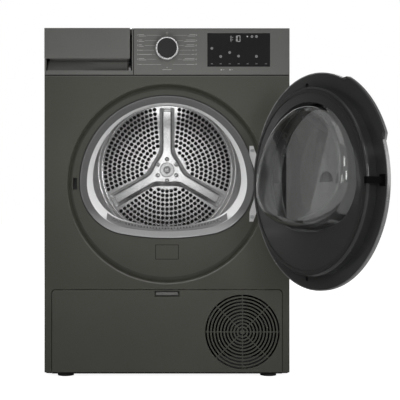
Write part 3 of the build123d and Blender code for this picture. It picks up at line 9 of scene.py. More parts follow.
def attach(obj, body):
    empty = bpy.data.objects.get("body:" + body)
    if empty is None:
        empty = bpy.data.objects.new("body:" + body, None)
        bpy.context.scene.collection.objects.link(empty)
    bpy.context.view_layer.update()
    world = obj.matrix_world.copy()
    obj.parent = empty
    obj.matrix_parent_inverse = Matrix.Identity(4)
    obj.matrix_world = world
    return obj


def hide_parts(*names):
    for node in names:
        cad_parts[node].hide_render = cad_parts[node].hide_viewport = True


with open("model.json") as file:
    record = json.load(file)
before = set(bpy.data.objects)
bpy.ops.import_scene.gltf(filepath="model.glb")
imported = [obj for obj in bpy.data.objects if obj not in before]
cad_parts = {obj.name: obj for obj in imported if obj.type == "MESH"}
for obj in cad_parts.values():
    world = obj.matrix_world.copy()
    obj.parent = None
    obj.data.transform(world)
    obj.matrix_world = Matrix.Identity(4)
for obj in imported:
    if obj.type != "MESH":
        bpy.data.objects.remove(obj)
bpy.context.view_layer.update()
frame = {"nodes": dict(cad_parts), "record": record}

nodes = frame["nodes"]
scene = bpy.context.scene
scene.view_settings.view_transform = "Standard"
print("frame loaded:", len(nodes), "nodes")


# helpers for node trees
def newTree(name, kind, takes, gives):
    # a tree with named inputs, each with its kind and starting value, and named outputs
    tree = bpy.data.node_groups.new(name, kind)
    for label, socketKind, value in takes:
        socket = tree.interface.new_socket(label, in_out="INPUT", socket_type="NodeSocket" + socketKind)
        if value is not None:
            socket.default_value = value
    for label, socketKind in gives:
        tree.interface.new_socket(label, in_out="OUTPUT", socket_type="NodeSocket" + socketKind)
    return tree, tree.nodes.new("NodeGroupInput"), tree.nodes.new("NodeGroupOutput")


def feed(tree, node, values):
    # a number is set on the named socket, anything else is linked to it
    for label, value in values.items():
        if isinstance(value, (int, float)):
            node.inputs[label].default_value = value
        else:
            tree.links.new(value, node.inputs[label])


def mathNode(tree, operation, first, second):
    node = tree.nodes.new("ShaderNodeMath")
    node.operation = operation
    feed(tree, node, {0: first, 1: second})
    return node.outputs[0]


def noiseNode(tree, vector, scale, detail, rough=0.5):
    node = tree.nodes.new("ShaderNodeTexNoise")
    feed(tree, node, {"Vector": vector, "Scale": scale, "Detail": detail, "Roughness": rough})
    return node.outputs["Fac"]


def rangeNode(tree, value, ends):
    node = tree.nodes.new("ShaderNodeMapRange")
    feed(tree, node, {"Value": value, **ends})
    return node.outputs[0]


# camera and studio, in metres
shot = {"place": (0.0, -2.577, 0.432), "lens": 84.3, "sensor": 36, "shiftX": 0.0825, "farthest": 60}
camera = bpy.data.objects.new("camera", bpy.data.cameras.new("camera"))
camera.location = shot["place"]
camera.rotation_euler = (math.radians(90), 0, 0)
camera.data.lens = shot["lens"]
camera.data.sensor_width = shot["sensor"]
camera.data.shift_x = shot["shiftX"]
camera.data.clip_end = shot["farthest"]
scene.collection.objects.link(camera)
scene.camera = camera

studio = {
    "ambient": 0.15,  # what the room gives to every surface
    "wall": 1.0,  # what the eye sees of it, also through glass
    "ground": 0.80,
    "groundRough": 0.9,
    "groundReach": 14.0,
    "groundGlow": (0.06, 0.92),  # what the floor throws back, and what the camera sees of it
    "lamps": [
        # name, place, aim, width, height, watts
        ("topSoft", (-0.3, -1.5, 3.0), (0.0, -0.2, 0.5), 2.6, 1.6, 10),
        ("leftSoft", (-2.6, -1.5, 1.3), (0.0, -0.2, 0.45), 1.2, 2.2, 6),
        ("rightSoft", (2.7, -1.7, 1.2), (0.2, -0.3, 0.45), 0.9, 2.0, 13),
        ("frontHigh", (-0.1, -3.2, 2.0), (0.0, -0.2, 0.5), 0.8, 0.6, 9.5),
        ("frontLeft", (-1.25, -3.1, 0.9), (0.0, -0.2, 0.45), 0.6, 0.7, 6),
        ("frontRight", (1.35, -3.1, 0.9), (0.0, -0.2, 0.4), 0.6, 0.7, 14),
        ("frontWall", (0.0, -4.4, 1.0), (0.0, 0.0, 0.6), 3.4, 2.2, 4.0),
        ("drumGlow", (0.0, -3.4, 0.70), (0.0, 0.2, 0.55), 0.36, 0.36, 1.1),
        ("drumLamp", (0.0, -0.17, 0.742), (0.0, 0.2, 0.5), 0.12, 0.04, 0.04),
        ("backSoft", (0.4, 2.6, 1.9), (0.0, 0.2, 0.45), 2.0, 1.4, 14),
    ],
    # soft fills before the opening and in the drum's mouth, for matt surfaces only
    "fills": [
        ("mouthFill", (0.0, -0.62, 0.52), (0.0, 0.0, 0.52), 0.3, 0.3, 1.45),
        ("wallFill", (0.0, -0.20, 0.50), (0.0, 0.2, 0.50), 0.25, 0.2, 0.25),
    ],
}


def aimLamp(name, place, target, wide, high, watts):
    lamp = bpy.data.lights.new(name, "AREA")
    lamp.shape = "RECTANGLE"
    lamp.size = wide
    lamp.size_y = high
    lamp.energy = watts
    holder = bpy.data.objects.new(name, lamp)
    holder.location = place
    holder.rotation_euler = (Vector(target) - Vector(place)).to_track_quat("-Z", "Y").to_euler()
    scene.collection.objects.link(holder)
    holder.visible_camera = False
    return holder


for lampRow in studio["lamps"]:
    aimLamp(*lampRow)
for lampRow in studio["fills"]:
    aimLamp(*lampRow).visible_glossy = False

world = bpy.data.worlds.new("room")
scene.world = world
world.use_nodes = True
roomTree = world.node_tree
roomTree.nodes.clear()
roomRay = roomTree.nodes.new("ShaderNodeLightPath").outputs
roomSeen = mathNode(roomTree, "MAXIMUM", roomRay["Is Camera Ray"], roomRay["Is Transmission Ray"])
roomMix = roomTree.nodes.new("ShaderNodeMixShader")
roomTree.links.new(roomSeen, roomMix.inputs[0])
for socket, strength in ((1, studio["ambient"]), (2, studio["wall"])):
    roomLight = roomTree.nodes.new("ShaderNodeBackground")
    roomLight.inputs["Color"].default_value = (1, 1, 1, 1)
    roomLight.inputs["Strength"].default_value = strength
    roomTree.links.new(roomLight.outputs[0], roomMix.inputs[socket])
roomTree.links.new(roomMix.outputs[0], roomTree.nodes.new("ShaderNodeOutputWorld").inputs[0])
print("studio lit")


# shader groups shared by the finishes
def shaderGroup(name, takes, gives):
    takes = [("Vector", "Vector", None), *takes]
    return newTree(name, "ShaderNodeTree", takes, [(label, "Float") for label in gives])


def blendShades(tree, fine, share, broad):
    finePart = mathNode(tree, "MULTIPLY", fine, share)
    broadPart = mathNode(tree, "MULTIPLY", broad, 1 - share)
    return mathNode(tree, "ADD", finePart, broadPart)


def makeMouldedGrain():
    # fine pebble of painted sheet and moulded plastic
    tree, start, end = shaderGroup("mouldedGrain", [("Scale", "Float", 400.0)], ["Height", "Shade"])
    fine = noiseNode(tree, start.outputs["Vector"], start.outputs["Scale"], 2.0)
    broad = noiseNode(tree, start.outputs["Vector"], 7.0, 3.0)
    feed(tree, end, {"Height": fine, "Shade": blendShades(tree, fine, 0.35, broad)})
    return tree


def makeBrushedLines():
    # drawn or brushed metal: noise stretched along one axis
    takes = [("Stretch", "Vector", (900.0, 30.0, 900.0))]
    tree, start, end = shaderGroup("brushedLines", takes, ["Height", "Shade"])
    scaled = tree.nodes.new("ShaderNodeVectorMath")
    scaled.operation = "MULTIPLY"
    feed(tree, scaled, {0: start.outputs["Vector"], 1: start.outputs["Stretch"]})
    lines = noiseNode(tree, scaled.outputs[0], 1.0, 2.0, 0.6)
    broad = noiseNode(tree, start.outputs["Vector"], 5.0, 2.0)
    feed(tree, end, {"Height": lines, "Shade": blendShades(tree, lines, 0.6, broad)})
    return tree


def makeHandMarks():
    # faint uneven sheen left by wiping and hands
    takes = [("Low", "Float", 0.3), ("High", "Float", 0.5)]
    tree, start, end = shaderGroup("handMarks", takes, ["Roughness"])
    cloud = noiseNode(tree, start.outputs["Vector"], 11.0, 4.0, 0.6)
    ends = {"From Min": 0.3, "From Max": 0.7, "To Min": start.outputs["Low"], "To Max": start.outputs["High"]}
    feed(tree, end, {"Roughness": rangeNode(tree, cloud, ends)})
    return tree


def makeLowMask():
    # where light and shade are painted towards the bottom: 0 at the upper height, 1 at the lower one
    takes = [("Upper", "Float", 0.4), ("Lower", "Float", 0.3)]
    tree, start, end = shaderGroup("lowMask", takes, ["Mask"])
    height = tree.nodes.new("ShaderNodeSeparateXYZ")
    tree.links.new(start.outputs["Vector"], height.inputs[0])
    ends = {"From Min": start.outputs["Upper"], "From Max": start.outputs["Lower"]}
    feed(tree, end, {"Mask": rangeNode(tree, height.outputs["Z"], ends)})
    return tree


mouldedGrain = makeMouldedGrain()
brushedLines = makeBrushedLines()
handMarks = makeHandMarks()
lowMask = makeLowMask()
grainDepth = 0.0006  # metres of relief at full bump

# dark and light of the colour, where one number is a grey, roughness from and to, and the grain:
# scale for a moulded pebble, stretch for brushed lines
finishes = {
    "body_paint": {"dark": (0.036, 0.0368, 0.0285), "light": (0.042, 0.0428, 0.0335), "rough": (0.46, 0.54),
                   "sheen": 0.32, "scale": 900.0, "bump": 0.06},
    "fascia_grey": {"dark": (0.084, 0.084, 0.079), "light": (0.097, 0.097, 0.091), "rough": (0.48, 0.56),
                    "sheen": 0.35, "scale": 1300.0, "bump": 0.07},
    "black_plastic": {"dark": (0.010, 0.010, 0.0105), "light": (0.016, 0.016, 0.0165), "rough": (0.26, 0.34),
                      "scale": 1500.0, "bump": 0.05},
    # low: a second colour painted towards the bottom as light and shade, the height where it starts and where
    # it is full; the bezel is painted paler below, as if lit from above
    "bezel_grey": {"dark": 0.080, "light": 0.097, "rough": (0.34, 0.42), "sheen": 0.4, "scale": 1300.0,
                   "bump": 0.05, "low": (0.26, 0.41, 0.362)},
    # the throat is painted darker towards the bottom, as shade
    "throat_grey": {"dark": 0.80, "light": 0.86, "rough": (0.20, 0.27), "scale": 1100.0, "bump": 0.03,
                    "low": (0.13, 0.395, 0.362)},
    "rim_grey": {"dark": 0.24, "light": 0.29, "rough": (0.24, 0.30), "metal": 0.55, "scale": 2400.0,
                 "bump": 0.03},
    "drum_steel": {"dark": 0.62, "light": 0.73, "rough": (0.16, 0.22), "metal": 1.0,
                   "stretch": (700.0, 20.0, 700.0), "bump": 0.03},
    "zinc_sheet": {"dark": (0.36, 0.37, 0.38), "light": (0.47, 0.48, 0.49), "rough": (0.36, 0.50),
                   "metal": 0.9, "stretch": (40.0, 900.0, 900.0), "bump": 0.04},
    "display_black": {"dark": (0.0055, 0.0055, 0.006), "light": (0.0075, 0.0075, 0.008),
                      "rough": (0.10, 0.16), "sheen": 0.36, "scale": 1500.0},
    "bright_metal": {"dark": 0.62, "light": 0.72, "rough": (0.20, 0.28), "metal": 1.0,
                     "stretch": (900.0, 900.0, 60.0), "bump": 0.03},
    "seal_rubber": {"dark": 0.012, "light": (0.021, 0.021, 0.020), "rough": (0.62, 0.74),
                    "scale": 1200.0, "bump": 0.10},
    "felt": {"dark": 0.20, "light": 0.31, "rough": (0.88, 0.95), "scale": 1800.0, "bump": 0.4},
    "copper": {"dark": (0.52, 0.22, 0.11), "light": (0.66, 0.31, 0.17), "rough": (0.24, 0.36),
               "metal": 1.0, "stretch": (500.0, 500.0, 60.0), "bump": 0.03},
    "fin_aluminium": {"dark": (0.56, 0.57, 0.58), "light": (0.68, 0.69, 0.70), "rough": (0.30, 0.40),
                      "metal": 1.0, "stretch": (60.0, 900.0, 900.0), "bump": 0.03},
    "machine_black": {"dark": 0.012, "light": 0.02, "rough": (0.30, 0.42), "scale": 500.0, "bump": 0.08},
    "tank_plastic": {"dark": (0.055, 0.056, 0.057), "light": (0.070, 0.071, 0.072), "rough": (0.36, 0.46),
                     "scale": 900.0, "bump": 0.05},
    "base_plastic": {"dark": 0.022, "light": 0.034, "rough": (0.48, 0.60), "scale": 800.0, "bump": 0.10},
    # the door's inside is a glossier moulding than the other black pieces
    "doorGloss": {"dark": (0.029, 0.029, 0.0295), "light": (0.035, 0.035, 0.0355), "rough": (0.13, 0.19),
                  "scale": 1500.0, "bump": 0.02},
    # the kick flap has the cabinet's colour, made a little paler as painted light for the lower front
    "flapLitGrey": {"dark": (0.042, 0.0428, 0.0345), "light": (0.048, 0.0488, 0.0395), "rough": (0.48, 0.56),
                 "sheen": 0.32, "scale": 1300.0, "bump": 0.07},
    # the filter is a darker grey than the throat it stands in
    "filterGrey": {"dark": 0.15, "light": 0.18, "rough": (0.40, 0.48), "sheen": 0.35, "scale": 1300.0,
                   "bump": 0.05},
    # the knob's face is a matt black that takes little light from the front
    "knobBlack": {"dark": 0.010, "light": 0.0145, "rough": (0.34, 0.44), "sheen": 0.22, "scale": 1500.0,
                  "bump": 0.05},
    # plated steel of the hinge, duller than the turned metal
    "hingePlate": {"dark": 0.45, "light": 0.55, "rough": (0.38, 0.46), "metal": 0.35,
                   "stretch": (900.0, 900.0, 60.0), "bump": 0.03},
    # the drum's wall is duller than its pressed back
    "drumWall": {"dark": 0.78, "light": 0.86, "rough": (0.30, 0.38), "metal": 0.15,
                 "stretch": (20.0, 700.0, 20.0), "bump": 0.03},
    # the pale bead on the bowl, a painted highlight; the print; black for joints, in some of them painted
    # shade; the recess wall, painted darker as shade; and the recess bead, painted paler below as a highlight
    "bowlHighlightPaint": {"dark": 0.60, "light": 0.72, "rough": (0.12, 0.18), "scale": 1500.0},
    "printInk": {"dark": (0.30, 0.30, 0.29), "light": (0.37, 0.37, 0.36), "rough": (0.5, 0.6),
                 "scale": 2000.0},
    # black for the latch hook and the joints, also painted shade in the fascia's joints, the panel's top line
    # and round the service cover
    "blackAndPaintedShade": {"dark": 0.002, "light": 0.004, "rough": (0.70, 0.80), "sheen": 0.05, "scale": 1200.0},
    "recessShade": {"dark": (0.024, 0.0245, 0.0192), "light": (0.028, 0.0285, 0.0224), "rough": (0.50, 0.58),
                    "sheen": 0.26, "scale": 900.0, "bump": 0.06},
    # the recess bead has the body's colour, painted paler towards the bottom as a highlight
    "recessEdgeHighlight": {"dark": (0.036, 0.0368, 0.0285), "light": (0.042, 0.0428, 0.0335), "rough": (0.40, 0.48),
                   "sheen": 0.32, "scale": 900.0, "bump": 0.04, "low": ((0.085, 0.085, 0.077), 0.40, 0.26)},
}
# faint and clear are the colours that are let through
glasses = {
    "smoked_glass": {"faint": (0.73, 0.74, 0.73), "clear": (0.77, 0.78, 0.77), "rough": 0.015},
    "dark_glass": {"faint": (0.115, 0.116, 0.115), "clear": (0.135, 0.136, 0.135), "rough": 0.03},
}
glows = {
    "litMarks": {"dark": (0.50, 0.50, 0.49), "light": (0.62, 0.62, 0.61), "strength": 0.7},
    "dimMarks": {"dark": 0.26, "light": 0.36, "strength": 0.8},
}
# nodes whose finish isn't their slot's
ownFinish = {
    "door_inner_frame": "doorGloss", "door_hinge_arm": "doorGloss", "door_latch_hook": "blackAndPaintedShade",
    "kick_flap": "flapLitGrey", "flap_button": "fascia_grey", "lint_filter": "filterGrey",
    "knob_body": "knobBlack", "hinge_bracket": "hingePlate", "drum_shell": "drumWall",
}


def startMaterial(name):
    material = bpy.data.materials.new(name)
    material.use_nodes = True
    tree = material.node_tree
    where = tree.nodes.new("ShaderNodeTexCoord").outputs["Object"]
    return material, tree, tree.nodes["Principled BSDF"], where


def placeGroup(tree, group, where, values):
    node = tree.nodes.new("ShaderNodeGroup")
    node.node_tree = group
    tree.links.new(where, node.inputs["Vector"])
    for label, value in values.items():
        node.inputs[label].default_value = value
    return node


def rgba(colour):
    if isinstance(colour, float):
        colour = (colour, colour, colour)
    return (*colour, 1)


def mixColours(tree, shade, dark, light):
    ramp = tree.nodes.new("ShaderNodeValToRGB")
    for element, place, colour in zip(ramp.color_ramp.elements, (0.30, 0.70), (dark, light)):
        element.position = place
        element.color = rgba(colour)
    tree.links.new(shade, ramp.inputs["Fac"])
    return ramp.outputs["Color"]


def makeFinish(name, look):
    material, tree, shader, where = startMaterial(name)
    if "stretch" in look:
        grain = placeGroup(tree, brushedLines, where, {"Stretch": look["stretch"]})
    else:
        grain = placeGroup(tree, mouldedGrain, where, {"Scale": look["scale"]})
    colour = mixColours(tree, grain.outputs["Shade"], look["dark"], look["light"])
    # a second colour towards the bottom: painted light on the bezel and the recess bead, painted shade on the
    # throat
    if "low" in look:
        other, upper, lower = look["low"]
        mask = placeGroup(tree, lowMask, where, {"Upper": upper, "Lower": lower})
        blend = tree.nodes.new("ShaderNodeMix")
        blend.data_type = "RGBA"
        tree.links.new(mask.outputs["Mask"], blend.inputs["Factor"])
        tree.links.new(colour, blend.inputs[6])  # 6 and 7 are a colour mix's two sides, 2 its result
        blend.inputs[7].default_value = rgba(other)
        colour = blend.outputs[2]
    tree.links.new(colour, shader.inputs["Base Color"])
    smooth, dull = look["rough"]
    marks = placeGroup(tree, handMarks, where, {"Low": smooth, "High": dull})
    tree.links.new(marks.outputs["Roughness"], shader.inputs["Roughness"])
    shader.inputs["Metallic"].default_value = look.get("metal", 0.0)
    shader.inputs["Specular IOR Level"].default_value = look.get("sheen", 0.5)
    if "bump" in look:
        bump = tree.nodes.new("ShaderNodeBump")
        height = grain.outputs["Height"]
        feed(tree, bump, {"Strength": look["bump"], "Distance": grainDepth, "Height": height})
        tree.links.new(bump.outputs[0], shader.inputs["Normal"])
    return material


def makeGlass(name, look):
    material, tree, shader, where = startMaterial(name)
    cloud = noiseNode(tree, where, 6.0, 2.0)
    colour = mixColours(tree, cloud, look["faint"], look["clear"])
    feed(tree, shader, {"Base Color": colour, "Roughness": look["rough"], "IOR": 1.5})
    shader.inputs["Transmission Weight"].default_value = 1.0
    return material


def makeGlowing(name, look):
    # lit marks on a dark ground
    material, tree, shader, where = startMaterial(name)
    cloud = noiseNode(tree, where, 240.0, 2.0)
    colour = mixColours(tree, cloud, look["dark"], look["light"])
    shader.inputs["Base Color"].default_value = rgba(0.03)
    feed(tree, shader, {"Roughness": 0.4, "Emission Strength": look["strength"], "Emission Color": colour})
    return material


materials = {name: makeFinish(name, look) for name, look in finishes.items()}
materials.update({name: makeGlass(name, look) for name, look in glasses.items()})
materials.update({name: makeGlowing(name, look) for name, look in glows.items()})
for part in frame["record"]["subparts"]:
    node = nodes[part["node"]]
    node.data.materials.clear()
    node.data.materials.append(materials[ownFinish.get(part["node"], part["material_slot"])])
print("finishes:", len(materials))


# making and placing pieces; from here on sizes are in mm
def mm(*point):
    return tuple(value / 1000 for value in point)


def addPiece(name, mesh, body, slot, finish=None, smoothAngle=35):
    mesh.materials.clear()
    mesh.materials.append(materials[finish or slot])
    piece = bpy.data.objects.new(name, mesh)
    scene.collection.objects.link(piece)
    if smoothAngle:
        mesh.shade_smooth()
        mesh.set_sharp_from_angle(angle=math.radians(smoothAngle))
    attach(piece, body)
    return piece


def meshFrom(name, points, faces):
    mesh = bpy.data.meshes.new(name)
    mesh.from_pydata([tuple(p) for p in points], [], faces)
    work = bmesh.new()
    work.from_mesh(mesh)
    bmesh.ops.recalc_face_normals(work, faces=work.faces)
    work.to_mesh(mesh)
    work.free()
    return mesh


def stackLoops(name, loops, ring=False):
    # closed loops of equal length joined one to the next, as a ring or with closed ends
    count = len(loops[0])
    last = (len(loops) - 1) * count
    points = [p for loop in loops for p in loop]
    faces = []
    for low in range(0, last + count if ring else last, count):
        high = (low + count) % len(points)
        for i in range(count):
            j = (i + 1) % count
            faces.append((low + i, low + j, high + j, high + i))
    if not ring:
        faces.append(tuple(range(count - 1, -1, -1)))
        faces.append(tuple(range(last, last + count)))
    return meshFrom(name, points, faces)


def polar(radius, turn):
    return radius * math.cos(turn), radius * math.sin(turn)


def turnsRound(count, first=0.0):
    # even steps of a full circle
    return [first + math.tau * i / count for i in range(count)]


def turned(outline, turn):
    # an outline turned about its origin
    c, s = polar(1, turn)
    return [(u * c - v * s, u * s + v * c) for u, v in outline]


def corners(left, right, low, high):
    return ((left, low), (right, low), (right, high), (left, high))


def prism(name, outline, near, far):
    # an outline in x and z drawn out between two depths
    return stackLoops(name, [[mm(x, y, z) for x, z in outline] for y in (near, far)])


def joinMeshes(name, meshes):
    work = bmesh.new()
    for mesh in meshes:
        work.from_mesh(mesh)
    whole = bpy.data.meshes.new(name)
    work.to_mesh(whole)
    work.free()
    return whole


def growTree(name, takes):
    # geometry nodes tree with a geometry in and out, named sizes and a material
    takes = [("Geometry", "Geometry", None), *takes, ("Material", "Material", None)]
    return newTree(name, "GeometryNodeTree", takes, [("Geometry", "Geometry")])


def closeTree(tree, start, end, shape, tipped=(0, 0, 0)):
    # the shape goes on every point, as real geometry with its material
    spread = tree.nodes.new("GeometryNodeInstanceOnPoints")
    spread.inputs["Rotation"].default_value = tipped
    real = tree.nodes.new("GeometryNodeRealizeInstances")
    coat = tree.nodes.new("GeometryNodeSetMaterial")
    feed(tree, spread, {"Points": start.outputs["Geometry"], "Instance": shape})
    feed(tree, real, {0: spread.outputs[0]})
    feed(tree, coat, {"Geometry": real.outputs[0], "Material": start.outputs["Material"]})
    feed(tree, end, {0: coat.outputs[0]})
    return tree


def runTree(name, tree, points, values):
    carrier = bpy.data.objects.new(name + ".points", bpy.data.meshes.new(name + ".points"))
    carrier.data.from_pydata([tuple(p) for p in points], [], [])
    scene.collection.objects.link(carrier)
    modifier = carrier.modifiers.new("grow", "NODES")
    modifier.node_group = tree
    for socket in tree.interface.items_tree:
        if socket.item_type == "SOCKET" and socket.in_out == "INPUT" and socket.name in values:
            modifier[socket.identifier] = values[socket.name]
    graph = bpy.context.evaluated_depsgraph_get()
    mesh = bpy.data.meshes.new_from_object(carrier.evaluated_get(graph))
    mesh.name = name
    carrier.modifiers.remove(modifier)
    old = carrier.data
    bpy.data.objects.remove(carrier)
    bpy.data.meshes.remove(old)
    return mesh


# drum back: a rolled rim round each hole, and the pressed three-arm spider
perf = {
    "plateY": 235.0,
    "centreZ": 522.0,
    "firstRow": 63.4,
    "rowPitch": 13.5,
    "rows": 10,
    "fields": (30, 150, 270),
    "holePitch": 13.0,
    "holeRadius": 5.3,
    "land": 0.6,
    "armWidth": 45.0,
    "roll": 0.5,
    "rollSeat": 0.6,  # how far outside the hole's edge the roll's middle lies, as a share of the roll
    "rollSides": (12, 4),
}


def onPlate(x, rise, z):
    # a place measured from the drum's axis, so far in front of its back plate
    return mm(x, perf["plateY"] - rise, perf["centreZ"] + z)


def perfPlaces():
    places = []
    for row in range(perf["rows"]):
        ringR = perf["firstRow"] + row * perf["rowPitch"]
        step = perf["holePitch"] / ringR
        room = math.radians(60) - (perf["armWidth"] / 2 + perf["holeRadius"] + perf["land"]) / ringR
        count = int(room / step)
        for middle in perf["fields"]:
            for i in range(-count, count + 1):
                x, z = polar(ringR, math.radians(middle) + i * step)
                places.append(onPlate(x, 0.0, z))
    return places


def makeRingTree():
    # a rolled ring round each point, facing the front
    tree, start, end = growTree("rolledRings", [("Radius", "Float", 0.0045), ("Roll", "Float", 0.001)])
    circles = []
    for label, sides in zip(("Radius", "Roll"), perf["rollSides"]):
        circle = tree.nodes.new("GeometryNodeCurvePrimitiveCircle")
        feed(tree, circle, {"Resolution": sides, "Radius": start.outputs[label]})
        circles.append(circle.outputs[0])
    tube = tree.nodes.new("GeometryNodeCurveToMesh")
    feed(tree, tube, {"Curve": circles[0], "Profile Curve": circles[1]})
    return closeTree(tree, start, end, tube.outputs[0], (math.radians(90), 0, 0))


rimMesh = runTree("drumHoleRims", makeRingTree(), perfPlaces(), {
    "Radius": (perf["holeRadius"] + perf["roll"] * perf["rollSeat"]) / 1000,
    "Roll": perf["roll"] / 1000,
    "Material": materials["drum_steel"],
})
addPiece("drumHoleRims", rimMesh, "drum", "drum_steel", smoothAngle=180)

spider = {
    "hub": 44.0,
    "arms": (90, 210, 330),
    "armHalf": 22.5,
    "armLength": 187.0,
    "armRound": 6.0,
    "blend": 34.0,
    # how far in from the edge, and how high above the plate
    "steps": [(0.0, 0.0), (0.5, 1.6), (1.4, 2.2), (6.6, 2.2), (7.6, 2.9), (10.2, 7.6), (11.4, 8.5),
              (12.2, 8.8), (12.9, 8.8)],
    "edgePoints": 420,
    # the edge is looked for along so many rays, between two radii, by halving
    "rays": 3600,
    "search": (2.0, 230.0),
    "halvings": 26,
}


def spiderEdge(x, y):
    # signed distance: hub and arms run smoothly into each other
    near = math.hypot(x, y) - spider["hub"]
    tip = spider["armRound"]
    for arm in spider["arms"]:
        c, s = polar(1, math.radians(arm))
        dx = abs(x * c + y * s - spider["armLength"] / 2) - spider["armLength"] / 2 + tip
        dy = abs(-x * s + y * c) - spider["armHalf"] + tip
        armNear = math.hypot(max(dx, 0), max(dy, 0)) + min(max(dx, dy), 0) - tip
        mix = max(spider["blend"] - abs(near - armNear), 0) / spider["blend"]
        near = min(near, armNear) - mix * mix * spider["blend"] / 4
    return near


def spiderLoop(inset):
    # outline at one inset, found in every direction, then evened out
    rough = []
    for turn in turnsRound(spider["rays"], math.radians(90)):
        low, high = spider["search"]
        for _ in range(spider["halvings"]):
            middle = (low + high) / 2
            if spiderEdge(*polar(middle, turn)) < -inset:
                low = middle
            else:
                high = middle
        rough.append(Vector(polar(low, turn)))
    lengths = [0.0]
    for a, b in zip(rough, rough[1:] + rough[:1]):
        lengths.append(lengths[-1] + (b - a).length)
    loop, place = [], 0
    for i in range(spider["edgePoints"]):
        want = lengths[-1] * i / spider["edgePoints"]
        while lengths[place + 1] < want:
            place += 1
        share = (want - lengths[place]) / max(lengths[place + 1] - lengths[place], 1e-9)
        loop.append(rough[place].lerp(rough[(place + 1) % len(rough)], share))
    return loop


spiderLoops = [[onPlate(p.x, rise, p.y) for p in spiderLoop(inset)] for inset, rise in spider["steps"]]
spiderMesh = stackLoops("drumSpider", spiderLoops)
spiderPiece = addPiece("drumSpider", spiderMesh, "drum", "drum_steel", smoothAngle=40)
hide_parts("drum_spider")


def makeDomeTree():
    # flattened domes, half sunk, for rivets
    tree, start, end = growTree("rivetDomes", [("Radius", "Float", 0.005), ("Squat", "Float", 0.5)])
    ball = tree.nodes.new("GeometryNodeMeshUVSphere")
    feed(tree, ball, {"Segments": 20, "Rings": 10, "Radius": start.outputs["Radius"]})
    squash = tree.nodes.new("ShaderNodeCombineXYZ")
    feed(tree, squash, {"X": 1.0, "Y": start.outputs["Squat"], "Z": 1.0})
    dome = tree.nodes.new("GeometryNodeTransform")
    feed(tree, dome, {"Geometry": ball.outputs["Mesh"], "Scale": squash.outputs[0]})
    return closeTree(tree, start, end, dome.outputs[0])


rivets = {"ring": 32.0, "count": 6, "radius": 6.6, "squat": 0.38, "rise": spider["steps"][-1][1]}
rivetPlaces = []
for turn in turnsRound(rivets["count"], math.radians(90)):
    x, z = polar(rivets["ring"], turn)
    rivetPlaces.append(onPlate(x, rivets["rise"], z))
rivetMesh = runTree("spiderRivets", makeDomeTree(), rivetPlaces, {
    "Radius": rivets["radius"] / 1000, "Squat": rivets["squat"], "Material": materials["drum_steel"],
})
addPiece("spiderRivets", rivetMesh, "drum", "drum_steel", smoothAngle=180)

# two short ribs across the end of each arm
armRibs = {"places": (179.2, 184.0), "half": 10.5, "thick": 1.3,
           # how high above the plate, and how far in from the rib's sides
           "steps": ((2.0, 0.0), (3.8, 0.0), (4.4, 0.6))}
ribMeshes = []
for arm in spider["arms"]:
    for along in armRibs["places"]:
        loops = []
        for rise, inset in armRibs["steps"]:
            thick, half = armRibs["thick"] - inset, armRibs["half"] - inset
            outline = turned(corners(along - thick, along + thick, -half, half), math.radians(arm))
            loops.append([onPlate(x, rise, z) for x, z in outline])
        ribMeshes.append(stackLoops("armRib", loops))
addPiece("spiderArmRibs", joinMeshes("spiderArmRibs", ribMeshes), "drum", "drum_steel", smoothAngle=30)
print("drum back done")


# painted shade: a dark ring on the rear panel behind the drum's holes, so that they show dark
holeShade = {"inner": 62.0, "outer": 262.0, "front": -22.5, "back": -23.7, "points": 96}
linerLoops = []
for edge, face in (("inner", "front"), ("outer", "front"), ("outer", "back"), ("inner", "back")):
    circle = [polar(holeShade[edge], turn) for turn in turnsRound(holeShade["points"])]
    linerLoops.append([onPlate(x, holeShade[face], z) for x, z in circle])
linerMesh = stackLoops("rearLiner", linerLoops, ring=True)
addPiece("rearLiner", linerMesh, "cabinet", "seal_rubber", smoothAngle=30)


# fasteners: a cross-headed screw, set out by a tree and turned to its face
screw = {"sides": 24, "headRadius": 4.5, "crownRadius": 3.87, "headHeight": 2.5, "slotHalf": 0.6,
         "slotReach": 2.6, "slotDepth": 1.2, "slotTaper": 0.8}


def screwHead():
    work = bmesh.new()
    rim, crown, cross, pit = [], [], [], []
    top = screw["headHeight"]
    for turn in turnsRound(screw["sides"]):
        rim.append(work.verts.new(mm(*polar(screw["headRadius"], turn), 0)))
        crown.append(work.verts.new(mm(*polar(screw["crownRadius"], turn), top)))
    h, r, taper = screw["slotHalf"], screw["slotReach"], screw["slotTaper"]
    plus = [(r, -h), (r, h), (h, h), (h, r), (-h, r), (-h, h)]
    for x, y in plus + [(-x, -y) for x, y in plus]:
        cross.append(work.verts.new(mm(x, y, top)))
        pit.append(work.verts.new(mm(x * taper, y * taper, top - screw["slotDepth"])))
    for ring, other in ((rim, crown), (cross, pit)):
        for i in range(len(ring)):
            j = (i + 1) % len(ring)
            work.faces.new((ring[i], ring[j], other[j], other[i]))
    work.faces.new(rim[::-1])
    work.faces.new(pit)
    edges = [work.edges.get(pair) for ring in (crown, cross) for pair in zip(ring, ring[1:] + ring[:1])]
    bmesh.ops.triangle_fill(work, edges=edges, use_beauty=True)
    bmesh.ops.recalc_face_normals(work, faces=work.faces)
    mesh = bpy.data.meshes.new("screwHead")
    work.to_mesh(mesh)
    work.free()
    return mesh


def makeRowTree():
    # a model on every point
    tree, start, end = growTree("modelRows", [("Model", "Object", None)])
    pick = tree.nodes.new("GeometryNodeObjectInfo")
    tree.links.new(start.outputs["Model"], pick.inputs["Object"])
    return closeTree(tree, start, end, pick.outputs["Geometry"])


rowTree = makeRowTree()


